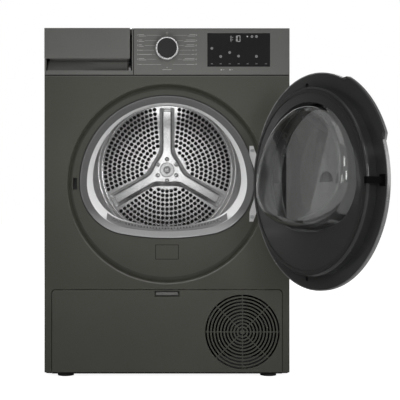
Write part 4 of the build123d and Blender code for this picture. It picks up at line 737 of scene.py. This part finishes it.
def setOut(name, modelMesh, points, toFace):
    # zinc copies of a mesh at flat points, then turned to the face they stand on
    model = bpy.data.objects.new(name + ".model", modelMesh)
    scene.collection.objects.link(model)
    mesh = runTree(name, rowTree, points, {"Model": model, "Material": materials["zinc_sheet"]})
    bpy.data.objects.remove(model)
    mesh.transform(toFace)
    return mesh


def facing(y, degrees):
    # turns flat points about the x axis onto an upright face at one depth
    return Matrix.Translation(mm(0, y, 0)) @ Matrix.Rotation(math.radians(degrees), 4, "X")


panelScrews = {"hingeX": 209.5, "hingeY": -274.0, "hingeZ": (390.5, 553.5), "rearX": 284.8,
               "rearY": 264.0, "rows": 5, "firstZ": 57.6, "lastZ": 791.0}
screwMesh = screwHead()
hingePoints = [mm(panelScrews["hingeX"], z, 0) for z in panelScrews["hingeZ"]]
rearPoints = []
for i in range(panelScrews["rows"]):
    z = panelScrews["firstZ"] + (panelScrews["lastZ"] - panelScrews["firstZ"]) * i / (panelScrews["rows"] - 1)
    rearPoints += [mm(side * panelScrews["rearX"], -z, 0) for side in (-1, 1)]
panelMesh = joinMeshes("panelScrews", [
    setOut("hingeScrews", screwMesh, hingePoints, facing(panelScrews["hingeY"], 90)),
    setOut("rearScrews", screwMesh, rearPoints, facing(panelScrews["rearY"], -90)),
])
allScrews = addPiece("panelScrews", panelMesh, "cabinet", "zinc_sheet")
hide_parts("panel_screws")

# the door's own axes at rest: along it, up, and out of its inner side
doorLeaf = {"hinge": (224.0, -308.0, 472.0), "open": 118.0, "screwU": 198.0, "screwV": 215.0, "screwW": -1.5}
swing = math.radians(180 + doorLeaf["open"])
doorMatrix = Matrix.Translation(mm(*doorLeaf["hinge"])) @ Matrix((
    (math.cos(swing), 0, math.sin(swing), 0),
    (math.sin(swing), 0, -math.cos(swing), 0),
    (0, 1, 0, 0),
    (0, 0, 0, 1),
))
doorPoints = [mm(doorLeaf["screwU"], side * doorLeaf["screwV"], doorLeaf["screwW"]) for side in (-1, 1)]
doorScrewMesh = setOut("doorScrews", screwMesh, doorPoints, doorMatrix)
doorScrewPiece = addPiece("doorScrews", doorScrewMesh, "door", "zinc_sheet", "machine_black")
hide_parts("door_screws")
print("fasteners set")


def onDoor(u, v, w):
    # a place along the door's own axes
    return doorMatrix @ (Vector((u, v, w)) / 1000)


# seal round the opening's bezel
opening = {"half": 212.0, "corner": 125.0, "drop": 133.0, "centreZ": 474.0, "floorY": -272.0, "points": 240,
           # how far out from the opening's edge, and how far proud of the recess floor
           "seal": [(2.15, 0.0), (2.3, 0.7), (2.9, 1.0), (4.0, 1.0), (4.7, 0.6), (5.0, 0.0)]}


def eggWalk(egg, out):
    # half circle above, tight corners and a shallow arc below: points with their outward directions
    half, corner, drop = (egg[key] + out for key in ("half", "corner", "drop"))
    side = half - corner
    lowR = (side ** 2 + drop ** 2 - corner ** 2) / (2 * (drop - corner))
    turn = math.atan2(lowR - drop, side)
    arcs = [((0, 0), half, 0, math.pi), ((-side, 0), corner, math.pi, turn),
            ((0, lowR - drop), lowR, math.pi + turn, math.pi - 2 * turn), ((side, 0), corner, -turn, turn)]
    total = sum(r * sweep for _, r, _, sweep in arcs)
    walk = []
    for i in range(egg["points"]):
        want = total * i / egg["points"]
        for (cx, cz), r, start, sweep in arcs:
            if want <= r * sweep:
                angle = start + want / r
                outward = Vector(polar(1, angle))
                walk.append((Vector((cx, cz)) + outward * r, outward))
                break
            want -= r * sweep
    return walk


sealLoops = []
for out, proud in opening["seal"]:
    y = opening["floorY"] - proud
    sealLoops.append([mm(p.x, y, opening["centreZ"] + p.y) for p, _ in eggWalk(opening, out)])
addPiece("bezelSeal", stackLoops("bezelSeal", sealLoops, ring=True), "cabinet", "seal_rubber", smoothAngle=60)

# bowl glass of the door: a deep egg whose slanted end runs into the wall in a round
bowl = {"half": 172.0, "corner": 97.0, "drop": 112.0, "midU": 224.0, "midV": 2.0, "wall": 5.0,
        "topDepth": 35.0, "lowDepth": 74.0, "lean": 18.0, "leanPast": 20.0, "round": 20.0, "flange": 8.0,
        "back": -2.0, "front": 2.5, "points": 288, "roundSteps": 12, "wallSteps": 6, "endStep": 6.0}


def bowlProfile(point, out, shrink):
    # wall, round and end in the plane across the edge at one point: how far in, how high
    a = bowl["lean"] / (bowl["lowDepth"] + bowl["leanPast"] - bowl["back"])
    tilt = (bowl["lowDepth"] - bowl["topDepth"]) / (bowl["half"] + bowl["drop"])
    above = point.y - (bowl["half"] - bowl["drop"]) / 2
    endHere = (bowl["topDepth"] + bowl["lowDepth"]) / 2 - shrink - tilt * above
    k = tilt * out.y
    r = bowl["round"] - shrink
    wallLength, endLength = math.hypot(1, a), math.hypot(1, k)
    # centre of the round: its distance from the wall and from the end is r
    w = (endHere + k * (r * wallLength - a * bowl["back"]) - r * endLength) / (1 - k * a)
    inward = r * wallLength + a * (w - bowl["back"])
    start = math.atan2(a, -1)
    stop = math.atan2(1, -k)
    firstW = w + r * math.sin(start)
    steps = []
    for i in range(bowl["wallSteps"]):
        height = bowl["front"] + (firstW - bowl["front"]) * i / bowl["wallSteps"]
        steps.append((a * (height - bowl["back"]), height))
    for i in range(bowl["roundSteps"] + 1):
        angle = start + (stop - start) * i / bowl["roundSteps"]
        steps.append((inward + r * math.cos(angle), w + r * math.sin(angle)))
    lastIn, lastW = steps[-1]
    steps.append((lastIn + bowl["endStep"], lastW + bowl["endStep"] * k))
    return steps


def bowlSide(shrink):
    columns = []
    for point, out in eggWalk(bowl, -shrink):
        column = []
        for inward, w in bowlProfile(point, out, shrink):
            place = point - out * inward
            column.append(onDoor(bowl["midU"] + place.x, bowl["midV"] + place.y, w))
        columns.append(column)
    return [list(loop) for loop in zip(*columns)]


def bowlEdge(out, w):
    return [onDoor(bowl["midU"] + p.x, bowl["midV"] + p.y, w) for p, _ in eggWalk(bowl, out)]


bowlOutside = bowlSide(0.0)
bowlFlange = [bowlEdge(-bowl["wall"], bowl["back"]), bowlEdge(bowl["flange"], bowl["back"]),
              bowlEdge(bowl["flange"], bowl["front"])]
bowlMesh = stackLoops("bowlGlass", bowlSide(bowl["wall"])[::-1] + bowlFlange + bowlOutside)
bowlPiece = addPiece("bowlGlass", bowlMesh, "door", "smoked_glass", smoothAngle=40)
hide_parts("door_bowl_glass")

# black collar round the foot of the bowl: how far out from the bowl's edge, and how high
collar = {"outer": (0.35, 20.0), "inner": (-2.5, 13.0), "thick": 1.2}
(outA, wA), (outB, wB) = collar["outer"], collar["inner"]
collarLoops = [bowlEdge(outA, wA), bowlEdge(outB, wB), bowlEdge(outB, wB - collar["thick"]),
               bowlEdge(outA, wA - collar["thick"])]
collarMesh = stackLoops("bowlCollar", collarLoops, ring=True)
addPiece("bowlCollar", collarMesh, "door", "black_plastic", "doorGloss", smoothAngle=30)

# painted highlight: a narrow pale bead along part of the bowl's round, thinner towards its ends, standing in
# for the bright line the light draws along it
highlightBead = {"radius": 0.42, "from": 0.20, "to": 0.62, "row": 11, "sides": 6, "thinnest": 0.15, "swell": 12}
edgeLoop = bowlOutside[highlightBead["row"]]
edgeSpan = edgeLoop[int(highlightBead["from"] * len(edgeLoop)):int(highlightBead["to"] * len(edgeLoop))]
edgeLast = len(edgeSpan) - 1
edgeRings = []
for i, point in enumerate(edgeSpan):
    along = (edgeSpan[min(i + 1, edgeLast)] - edgeSpan[max(i - 1, 0)]).normalized()
    across = along.orthogonal().normalized()
    third = along.cross(across)
    share = min(1.0, highlightBead["thinnest"] + highlightBead["swell"] * min(i, edgeLast - i) / len(edgeSpan))
    thin = highlightBead["radius"] * share / 1000
    circle = [polar(thin, turn) for turn in turnsRound(highlightBead["sides"])]
    edgeRings.append([point + across * u + third * v for u, v in circle])
edgeMesh = stackLoops("bowlEdgeLine", edgeRings)
addPiece("bowlEdgeLine", edgeMesh, "door", "smoked_glass", "bowlHighlightPaint", smoothAngle=80)
print("bowl done")

# black lip along the door's handle
handleLip = {"radius": 247.0, "foot": 239.0, "from": 19.5, "to": 66.0, "slope": 3.0, "midU": 224.0,
             "steps": 40,
             # across the lip: how far out from the handle's edge, and how far towards the drum
             "section": [(0.2, 0.4), (0.2, 4.9), (-0.1, 5.2), (-2.7, 5.2), (-2.7, 5.03), (0.03, 5.03),
                         (0.03, 0.4)]}
lipFirst, lipLast = handleLip["from"] + handleLip["slope"], handleLip["to"] - handleLip["slope"]
lipPath = [(handleLip["foot"], handleLip["from"])]
for i in range(handleLip["steps"] + 1):
    lipPath.append((handleLip["radius"], lipFirst + (lipLast - lipFirst) * i / handleLip["steps"]))
lipPath.append((handleLip["foot"], handleLip["to"]))
lipPoints = [Vector(polar(r, math.radians(degrees))) for r, degrees in lipPath]
lipLoops = []
for i, point in enumerate(lipPoints):
    before = lipPoints[max(i - 1, 0)]
    after = lipPoints[min(i + 1, len(lipPoints) - 1)]
    first = (point - before).normalized() if i else (after - point).normalized()
    second = (after - point).normalized() if i < len(lipPoints) - 1 else first
    along = (first + second).normalized()
    across = Vector((along.y, -along.x)) / max(first.dot(along), 0.5)
    lipLoops.append([
        onDoor(handleLip["midU"] + point.x + across.x * out, point.y + across.y * out, w)
        for out, w in handleLip["section"]
    ])
addPiece("handleLip", stackLoops("handleLip", lipLoops), "door", "black_plastic", "doorGloss", smoothAngle=30)

# rear louvres: one scoop set out in rows, with a black bar under each as painted shade for its slit
louvre = {"half": 34.0, "proud": 4.2, "rim": 0.05, "fullness": 5, "columns": (-196.0, -110.0),
          "firstZ": 92.0, "rows": 9, "pitch": 14.5, "rearY": 264.0, "stations": 24,
          # across the scoop: how far up, and the share of its height
          "section": [(4.6, 0.0), (3.8, 0.42), (1.2, 0.82), (-1.8, 1.0), (-3.6, 1.0), (-3.6, 0.80),
                      (-1.8, 0.78), (1.0, 0.60), (3.2, 0.2), (3.6, 0.0)]}
slitShade = {"half": 30.6, "low": -4.6, "high": -3.0, "proud": (0.02, 0.12)}


def louvreScoop():
    loops = []
    for i in range(louvre["stations"] + 1):
        share = -1 + 2 * i / louvre["stations"]
        lift = (1 - abs(share) ** louvre["fullness"]) ** 0.5 * louvre["proud"] + louvre["rim"]
        loops.append([mm(share * louvre["half"], -z, d * lift) for z, d in louvre["section"]])
    return stackLoops("louvreScoop", loops)


louvreRows = [louvre["firstZ"] + row * louvre["pitch"] for row in range(louvre["rows"])]
louvreSpots = [(x, z) for x in louvre["columns"] for z in louvreRows]
louvrePoints = [mm(x, -z, 0) for x, z in louvreSpots]
louvreMesh = setOut("rearLouvres", louvreScoop(), louvrePoints, facing(louvre["rearY"], -90))
addPiece("rearLouvres", louvreMesh, "cabinet", "zinc_sheet", smoothAngle=50)
slitNear, slitFar = (louvre["rearY"] + proud for proud in slitShade["proud"])
slitMeshes = []
for x, z in louvreSpots:
    outline = corners(x - slitShade["half"], x + slitShade["half"], z + slitShade["low"], z + slitShade["high"])
    slitMeshes.append(prism("slit", outline, slitNear, slitFar))
addPiece("louvreSlits", joinMeshes("louvreSlits", slitMeshes), "cabinet", "black_plastic", smoothAngle=0)
print("lip and louvres done")


# flat marks: print, painted shade in the joints, and lit signs
class Marks:
    # gathers flat marks of one finish into one mesh; look gives the face they lie on and their thickness
    barFaces = [(0, 1, 2, 3), (7, 6, 5, 4), (0, 4, 5, 1), (1, 5, 6, 2), (2, 6, 7, 3), (3, 7, 4, 0)]

    def __init__(self, look):
        self.points, self.faces = [], []
        self.depths = (look["faceY"] - look["thick"], look["faceY"])

    def bar(self, left, right, low, high):
        base = len(self.points)
        self.points += [mm(x, y, z) for y in self.depths for x, z in corners(left, right, low, high)]
        self.faces += [tuple(base + i for i in face) for face in self.barFaces]

    def border(self, left, right, low, high, wide):
        # four bars along the inside of an edge
        self.bar(left, right, low, low + wide)
        self.bar(left, right, high - wide, high)
        self.bar(left, left + wide, low + wide, high - wide)
        self.bar(right - wide, right, low + wide, high - wide)

    def disc(self, x, z, radius, inner=0.0, count=20):
        base = len(self.points)
        for r in [radius, inner] if inner else [radius]:
            for y in self.depths:
                circle = [polar(r, turn) for turn in turnsRound(count)]
                self.points += [mm(x + dx, y, z + dz) for dx, dz in circle]
        front, back, innerFront, innerBack = (base + ring * count for ring in range(4))
        for i in range(count):
            j = (i + 1) % count
            self.faces.append((front + i, front + j, back + j, back + i))
            if inner:
                self.faces.append((innerFront + j, innerFront + i, innerBack + i, innerBack + j))
                self.faces.append((front + j, front + i, innerFront + i, innerFront + j))
                self.faces.append((back + i, back + j, innerBack + j, innerBack + i))
        if not inner:
            self.faces.append(tuple(front + i for i in range(count - 1, -1, -1)))
            self.faces.append(tuple(back + i for i in range(count)))

    def number(self, text, x, z, size, align):
        # letters become a mesh before they are put in place
        words = bpy.data.curves.new("number", "FONT")
        words.body = text
        words.size = size
        words.align_x = align
        words.align_y = "CENTER"
        holder = bpy.data.objects.new("number", words)
        scene.collection.objects.link(holder)
        graph = bpy.context.evaluated_depsgraph_get()
        flat = bpy.data.meshes.new_from_object(holder.evaluated_get(graph))
        bpy.data.objects.remove(holder)
        bpy.data.curves.remove(words)
        base = len(self.points)
        count = len(flat.vertices)
        self.points += [mm(x + v.co.x, y, z + v.co.y) for y in self.depths for v in flat.vertices]
        edgeUse = {}
        for face in flat.polygons:
            ring = list(face.vertices)
            self.faces.append(tuple(base + i for i in ring))
            self.faces.append(tuple(base + count + i for i in reversed(ring)))
            for a, b in zip(ring, ring[1:] + ring[:1]):
                edge = (min(a, b), max(a, b))
                edgeUse[edge] = edgeUse.get(edge, 0) + 1
        for (a, b), uses in edgeUse.items():
            if uses == 1:
                self.faces.append((base + a, base + b, base + count + b, base + count + a))
        bpy.data.meshes.remove(flat)

    def add(self, name, body, slot, finish):
        addPiece(name, meshFrom(name, self.points, self.faces), body, slot, finish, smoothAngle=0)


def addBars(name, look, body, slot, finish):
    # a piece of flat bars: left, right, low and high of each
    marks = Marks(look)
    for bar in look["bars"]:
        marks.bar(*bar)
    marks.add(name, body, slot, finish)


# print on the fascia: plain numbers and bars, with lead lines to the knob
fasciaPrint = {
    "faceY": -300.05,
    "thick": 0.08,
    "rows": (832.4, 819.3, 807.6, 796.2, 786.0, 774.3, 761.6),
    "numberX": 72.8,
    "numberSize": 4.896,
    "barFrom": 69.2,
    "twoDigits": 2.6,  # how much later a bar starts beside a number of two digits
    "barHalf": 0.42,
    "barGap": 1.75,
    "barStep": 4.5,  # how much shorter the second bar is
    # for each row, left then right: where the bars end, and how many lines they have
    "left": ((51.5, 2), (56.0, 2), (56.5, 2), (57.5, 1), (36.0, 1), (50.5, 2), (61.5, 1)),
    "right": ((50.0, 2), (41.5, 2), (43.0, 2), (61.0, 1), (59.5, 1), (38.5, 2), (47.0, 1)),
    "lineGap": 2.0,
    "lineTo": (14.6, 25.0, 29.0, 30.0, 29.0, 26.0, 14.2),
    "lineHalf": 0.22,
    "zero": (0.0, 754.0),
    "ring": (0.0, 837.5, 2.6, 2.0),
    "dots": ((132.0, 748.6, 1.7), (153.0, 748.6, 1.7)),
    # under the zero, and beside the dots
    "bars": ((-11.0, 11.0, 748.4, 749.3), (135.0, 139.5, 748.2, 749.0), (156.0, 160.5, 748.2, 749.0)),
}


def sideBar(marks, side, near, far, z, half):
    left, right = sorted((side * near, side * far))
    marks.bar(left, right, z - half, z + half)


inkMarks = Marks(fasciaPrint)
rowCount = len(fasciaPrint["rows"])
for row, z in enumerate(fasciaPrint["rows"]):
    lineEnd = fasciaPrint["lineTo"][row]
    for side, key, number in ((-1, "left", rowCount - row), (1, "right", rowCount + 1 + row)):
        barEnd, lines = fasciaPrint[key][row]
        inkMarks.number(str(number), side * fasciaPrint["numberX"], z, fasciaPrint["numberSize"], key.upper())
        barStart = fasciaPrint["barFrom"] - (fasciaPrint["twoDigits"] if number > 9 else 0.0)
        for line in range(lines):
            rise = z + fasciaPrint["barGap"] * (2 * line - lines + 1)
            lineFar = barEnd + line * fasciaPrint["barStep"]
            sideBar(inkMarks, side, barStart, lineFar, rise, fasciaPrint["barHalf"])
        lineStart = barEnd - fasciaPrint["lineGap"]
        if lineStart > lineEnd:
            sideBar(inkMarks, side, lineStart, lineEnd, z, fasciaPrint["lineHalf"])
inkMarks.number("0", *fasciaPrint["zero"], fasciaPrint["numberSize"], "CENTER")
inkMarks.disc(*fasciaPrint["ring"])
for dot in fasciaPrint["dots"]:
    inkMarks.disc(*dot)
for bar in fasciaPrint["bars"]:
    inkMarks.bar(*bar)
inkMarks.add("fasciaPrint", "cabinet", "fascia_grey", "printInk")

# painted shade: black bars down in the shadow lines under the fascia and beside the drawer, standing in for
# their shade
joints = {"faceY": -299.4, "thick": 0.2,
          "bars": ((-297.6, 297.6, 735.45, 736.55), (-82.25, -80.55, 736.55, 846.5))}
addBars("fasciaJoints", joints, "cabinet", "seal_rubber", "blackAndPaintedShade")
# a black line drawn over the panel's top edge, painted shade of the joint above it
panelLine = {"faceY": -300.02, "thick": 0.06, "bars": ((-297.0, 297.0, 734.0, 735.4),)}
addBars("panelLine", panelLine, "cabinet", "seal_rubber", "blackAndPaintedShade")

# dark liner behind the upright gap beside the drawer, so that no light from the drum shows there
gapLiner = {"low": 741.0, "high": 849.0,
            # x and y of its outline, with a flange to the back on the right
            "outline": ((-89.3, -283.0), (-85.0, -283.0), (-85.0, -277.6), (-86.2, -277.6), (-86.2, -281.6),
                        (-89.3, -281.6))}
gapLoops = [[mm(x, y, z) for x, y in gapLiner["outline"]] for z in (gapLiner["low"], gapLiner["high"])]
gapMesh = stackLoops("drawerGapLiner", gapLoops)
addPiece("drawerGapLiner", gapMesh, "cabinet", "seal_rubber", "blackAndPaintedShade", smoothAngle=0)

# painted shade: a black border round the service cover in the recess floor, over the shadow of its gap
coverJoint = {"faceY": -272.05, "thick": 0.12, "half": 28.6, "low": 285.8, "high": 322.2, "wide": 1.5}
coverHalf, coverWide = coverJoint["half"], coverJoint["wide"]
coverMarks = Marks(coverJoint)
coverMarks.border(-coverHalf, coverHalf, coverJoint["low"], coverJoint["high"], coverWide)
coverMarks.add("coverJoint", "cabinet", "seal_rubber", "blackAndPaintedShade")

# rolled wall of the door recess, and the bead along its edge; both stop short of the hinge
recess = {"z": 472.0, "from": 12.0, "to": 348.0, "steps": 180,
          # radius and depth along each ring's outline
          "wall": [(242.1, -297.0), (241.0, -286.0), (239.0, -278.0), (236.4, -273.8), (234.4, -272.5),
                   (233.6, -272.04), (238.3, -271.9), (242.4, -296.8)],
          "bead": [(241.6, -298.6), (242.2, -299.7), (243.6, -300.25), (245.2, -300.15), (245.6, -299.8),
                   (243.4, -298.6), (242.2, -297.4)],
          # how much wider the wall's foot gets above and below, growing inwards from the edge over a width
          "above": 2.0, "below": 4.5, "edge": 242.0, "width": 8.4, "floorY": -272.0}


def recessRing(name, outline):
    loops = []
    for i in range(recess["steps"] + 1):
        turn = math.radians(recess["from"] + (recess["to"] - recess["from"]) * i / recess["steps"])
        level = math.sin(turn)
        wider = recess["above"] * max(level, 0) - recess["below"] * min(level, 0)
        loop = []
        for r, y in outline:
            if y < recess["floorY"]:
                r -= wider * min(max((recess["edge"] - r) / recess["width"], 0), 1)
            loop.append(mm(r * math.cos(turn), y, recess["z"] + r * level))
        loops.append(loop)
    return stackLoops(name, loops)


wallMesh = recessRing("recessWall", recess["wall"])
addPiece("recessWall", wallMesh, "cabinet", "body_paint", "recessShade", smoothAngle=40)
beadMesh = recessRing("recessBead", recess["bead"])
# the bead is painted paler towards the bottom, a painted highlight
addPiece("recessBead", beadMesh, "cabinet", "body_paint", "recessEdgeHighlight", smoothAngle=60)

# dark sill along the flap's lower edge, and the rounded corners of the opening it stands in
sill = {"faceY": -300.04, "thick": 0.12, "bars": ((-278.5, 278.5, 10.2, 13.0),)}
addBars("flapSill", sill, "flap", "black_plastic", "blackAndPaintedShade")
flapCorner = {"x": 281.0, "z": 214.6, "radius": 9.4, "front": -299.95, "back": -298.9, "count": 10}
cornerMeshes = []
for side in (-1, 1):
    outline = [(side * flapCorner["x"], flapCorner["z"])]
    for i in range(flapCorner["count"] + 1):
        turn = math.radians(90 * i / flapCorner["count"])
        x = flapCorner["x"] - flapCorner["radius"] * (1 - math.cos(turn))
        outline.append((side * x, flapCorner["z"] - flapCorner["radius"] * (1 - math.sin(turn))))
    cornerMeshes.append(prism("corner", outline, flapCorner["front"], flapCorner["back"]))
addPiece("flapCorners", joinMeshes("flapCorners", cornerMeshes), "cabinet", "body_paint", smoothAngle=0)

# spokes across the flap's ring grille
spokes = {"x": 183.4, "z": 111.3, "from": 14.0, "to": 91.0, "half": 1.15, "count": 8,
          "front": -300.06, "back": -299.4}
spokeMeshes = []
spokeBar = corners(spokes["from"], spokes["to"], -spokes["half"], spokes["half"])
for turn in turnsRound(spokes["count"]):
    outline = [(spokes["x"] + x, spokes["z"] + z) for x, z in turned(spokeBar, turn)]
    spokeMeshes.append(prism("spoke", outline, spokes["front"], spokes["back"]))
spokeMesh = joinMeshes("grilleSpokes", spokeMeshes)
addPiece("grilleSpokes", spokeMesh, "flap", "body_paint", "flapLitGrey", smoothAngle=0)

# painted highlight: a paler bar along the top of the front panel, standing in for the light on its folded
# edge
panelFold = {"faceY": -300.02, "thick": 0.06, "bars": ((-296.0, 296.0, 732.8, 733.9),)}
addBars("panelFold", panelFold, "cabinet", "body_paint", "fascia_grey")
print("joints, recess edge and sill done")

# lit marks on the display window: segment numbers, dots and rings
readout = {
    "faceY": -300.02,
    "thick": 0.06,
    "text": ((1, 148.5), (1, 161.5), (0, 170.5)),
    "z": 816.8,
    "wide": 7.6,
    "high": 15.0,
    "stroke": 1.15,
    "dots": ((159.6, 821.4, 0.75), (159.6, 827.2, 0.75), (195.3, 829.4, 1.7)),
    "symbols": ((206.5, 829.4), (217.5, 829.4), (109.0, 800.8), (130.6, 781.0), (152.4, 790.6),
                (174.2, 781.8), (217.4, 781.2)),
    "symbolRing": (3.0, 1.9),
    "symbolDot": 0.9,
    "dashes": (109.0, 130.6, 152.4, 174.2, 195.8, 217.4, 240.5),
    "dashHalf": 2.4,
    "dashLow": 762.8,
    "dashHigh": 763.5,
}
segments = {0: "abcdef", 1: "bc"}
litMarks = Marks(readout)
for digit, x in readout["text"]:
    w, h, t, z = readout["wide"], readout["high"], readout["stroke"], readout["z"]
    bars = {
        "a": (x + t, x + w - t, z + h - t, z + h),
        "b": (x + w - t, x + w, z + h / 2 + t / 3, z + h - t / 2),
        "c": (x + w - t, x + w, z + t / 2, z + h / 2 - t / 3),
        "d": (x + t, x + w - t, z, z + t),
        "e": (x, x + t, z + t / 2, z + h / 2 - t / 3),
        "f": (x, x + t, z + h / 2 + t / 3, z + h - t / 2),
    }
    for letter in segments[digit]:
        litMarks.bar(*bars[letter])
for dot in readout["dots"]:
    litMarks.disc(*dot)
litMarks.add("displayDigits", "cabinet", "display_black", "litMarks")

dimMarks = Marks(readout)
for x, z in readout["symbols"]:
    dimMarks.disc(x, z, *readout["symbolRing"])
    dimMarks.disc(x, z, readout["symbolDot"])
for x in readout["dashes"]:
    dimMarks.bar(x - readout["dashHalf"], x + readout["dashHalf"], readout["dashLow"], readout["dashHigh"])
dimMarks.add("displaySymbols", "cabinet", "display_black", "dimMarks")
print("print and display done")


# finger scoop under the drawer front: steep on the left, deep on the right
scoop = {"left": -292.5, "right": -95.5, "frontY": -298.5, "backY": -273.5, "low": 747.4, "high": 774.5,
         "columns": 48, "rows": 18, "steep": 1.1, "deep": 5.0, "turnFrom": 0.45, "turnTo": 0.80, "wall": 1.2}
scoopPoints, scoopFaces = [], []
for c in range(scoop["columns"] + 1):
    share = c / scoop["columns"]
    x = scoop["left"] + (scoop["right"] - scoop["left"]) * share
    turn = min(max((share - scoop["turnFrom"]) / (scoop["turnTo"] - scoop["turnFrom"]), 0), 1)
    power = scoop["steep"] + (scoop["deep"] - scoop["steep"]) * turn * turn * (3 - 2 * turn)
    for r in range(scoop["rows"] + 1):
        depth = r / scoop["rows"]
        y = scoop["frontY"] + (scoop["backY"] - scoop["frontY"]) * depth
        scoopPoints.append(mm(x, y, scoop["low"] + (scoop["high"] - scoop["low"]) * depth ** power))
for c in range(scoop["columns"]):
    for r in range(scoop["rows"]):
        a = c * (scoop["rows"] + 1) + r
        b = a + scoop["rows"] + 1
        scoopFaces.append((a, b, b + 1, a + 1))
scoopMesh = bpy.data.meshes.new("gripScoop")
scoopMesh.from_pydata(scoopPoints, [], scoopFaces)
scoopPiece = addPiece("gripScoop", scoopMesh, "drawer", "fascia_grey", smoothAngle=60)
scoopWall = scoopPiece.modifiers.new("wall", "SOLIDIFY")
scoopWall.thickness = scoop["wall"] / 1000
scoopWall.offset = -1
print("scoop done")


# floor, in metres
reach = studio["groundReach"]
floorMesh = bpy.data.meshes.new("floor")
floorMesh.from_pydata([(x, y, 0) for x, y in corners(-reach, reach, -reach, reach)], [], [(0, 1, 2, 3)])
floor = bpy.data.objects.new("floor", floorMesh)
scene.collection.objects.link(floor)
floorPaint, floorTree, floorShader, _ = startMaterial("paleFloor")
floorShader.inputs["Base Color"].default_value = rgba(studio["ground"])
floorShader.inputs["Emission Color"].default_value = rgba(1.0)
floorRay = floorTree.nodes.new("ShaderNodeLightPath").outputs["Is Camera Ray"]
floorGlow = rangeNode(floorTree, floorRay, dict(zip(("To Min", "To Max"), studio["groundGlow"])))
feed(floorTree, floorShader, {
    "Roughness": studio["groundRough"], "Specular IOR Level": 0.0, "Emission Strength": floorGlow,
})
floorMesh.materials.append(floorPaint)

print("scene ready")
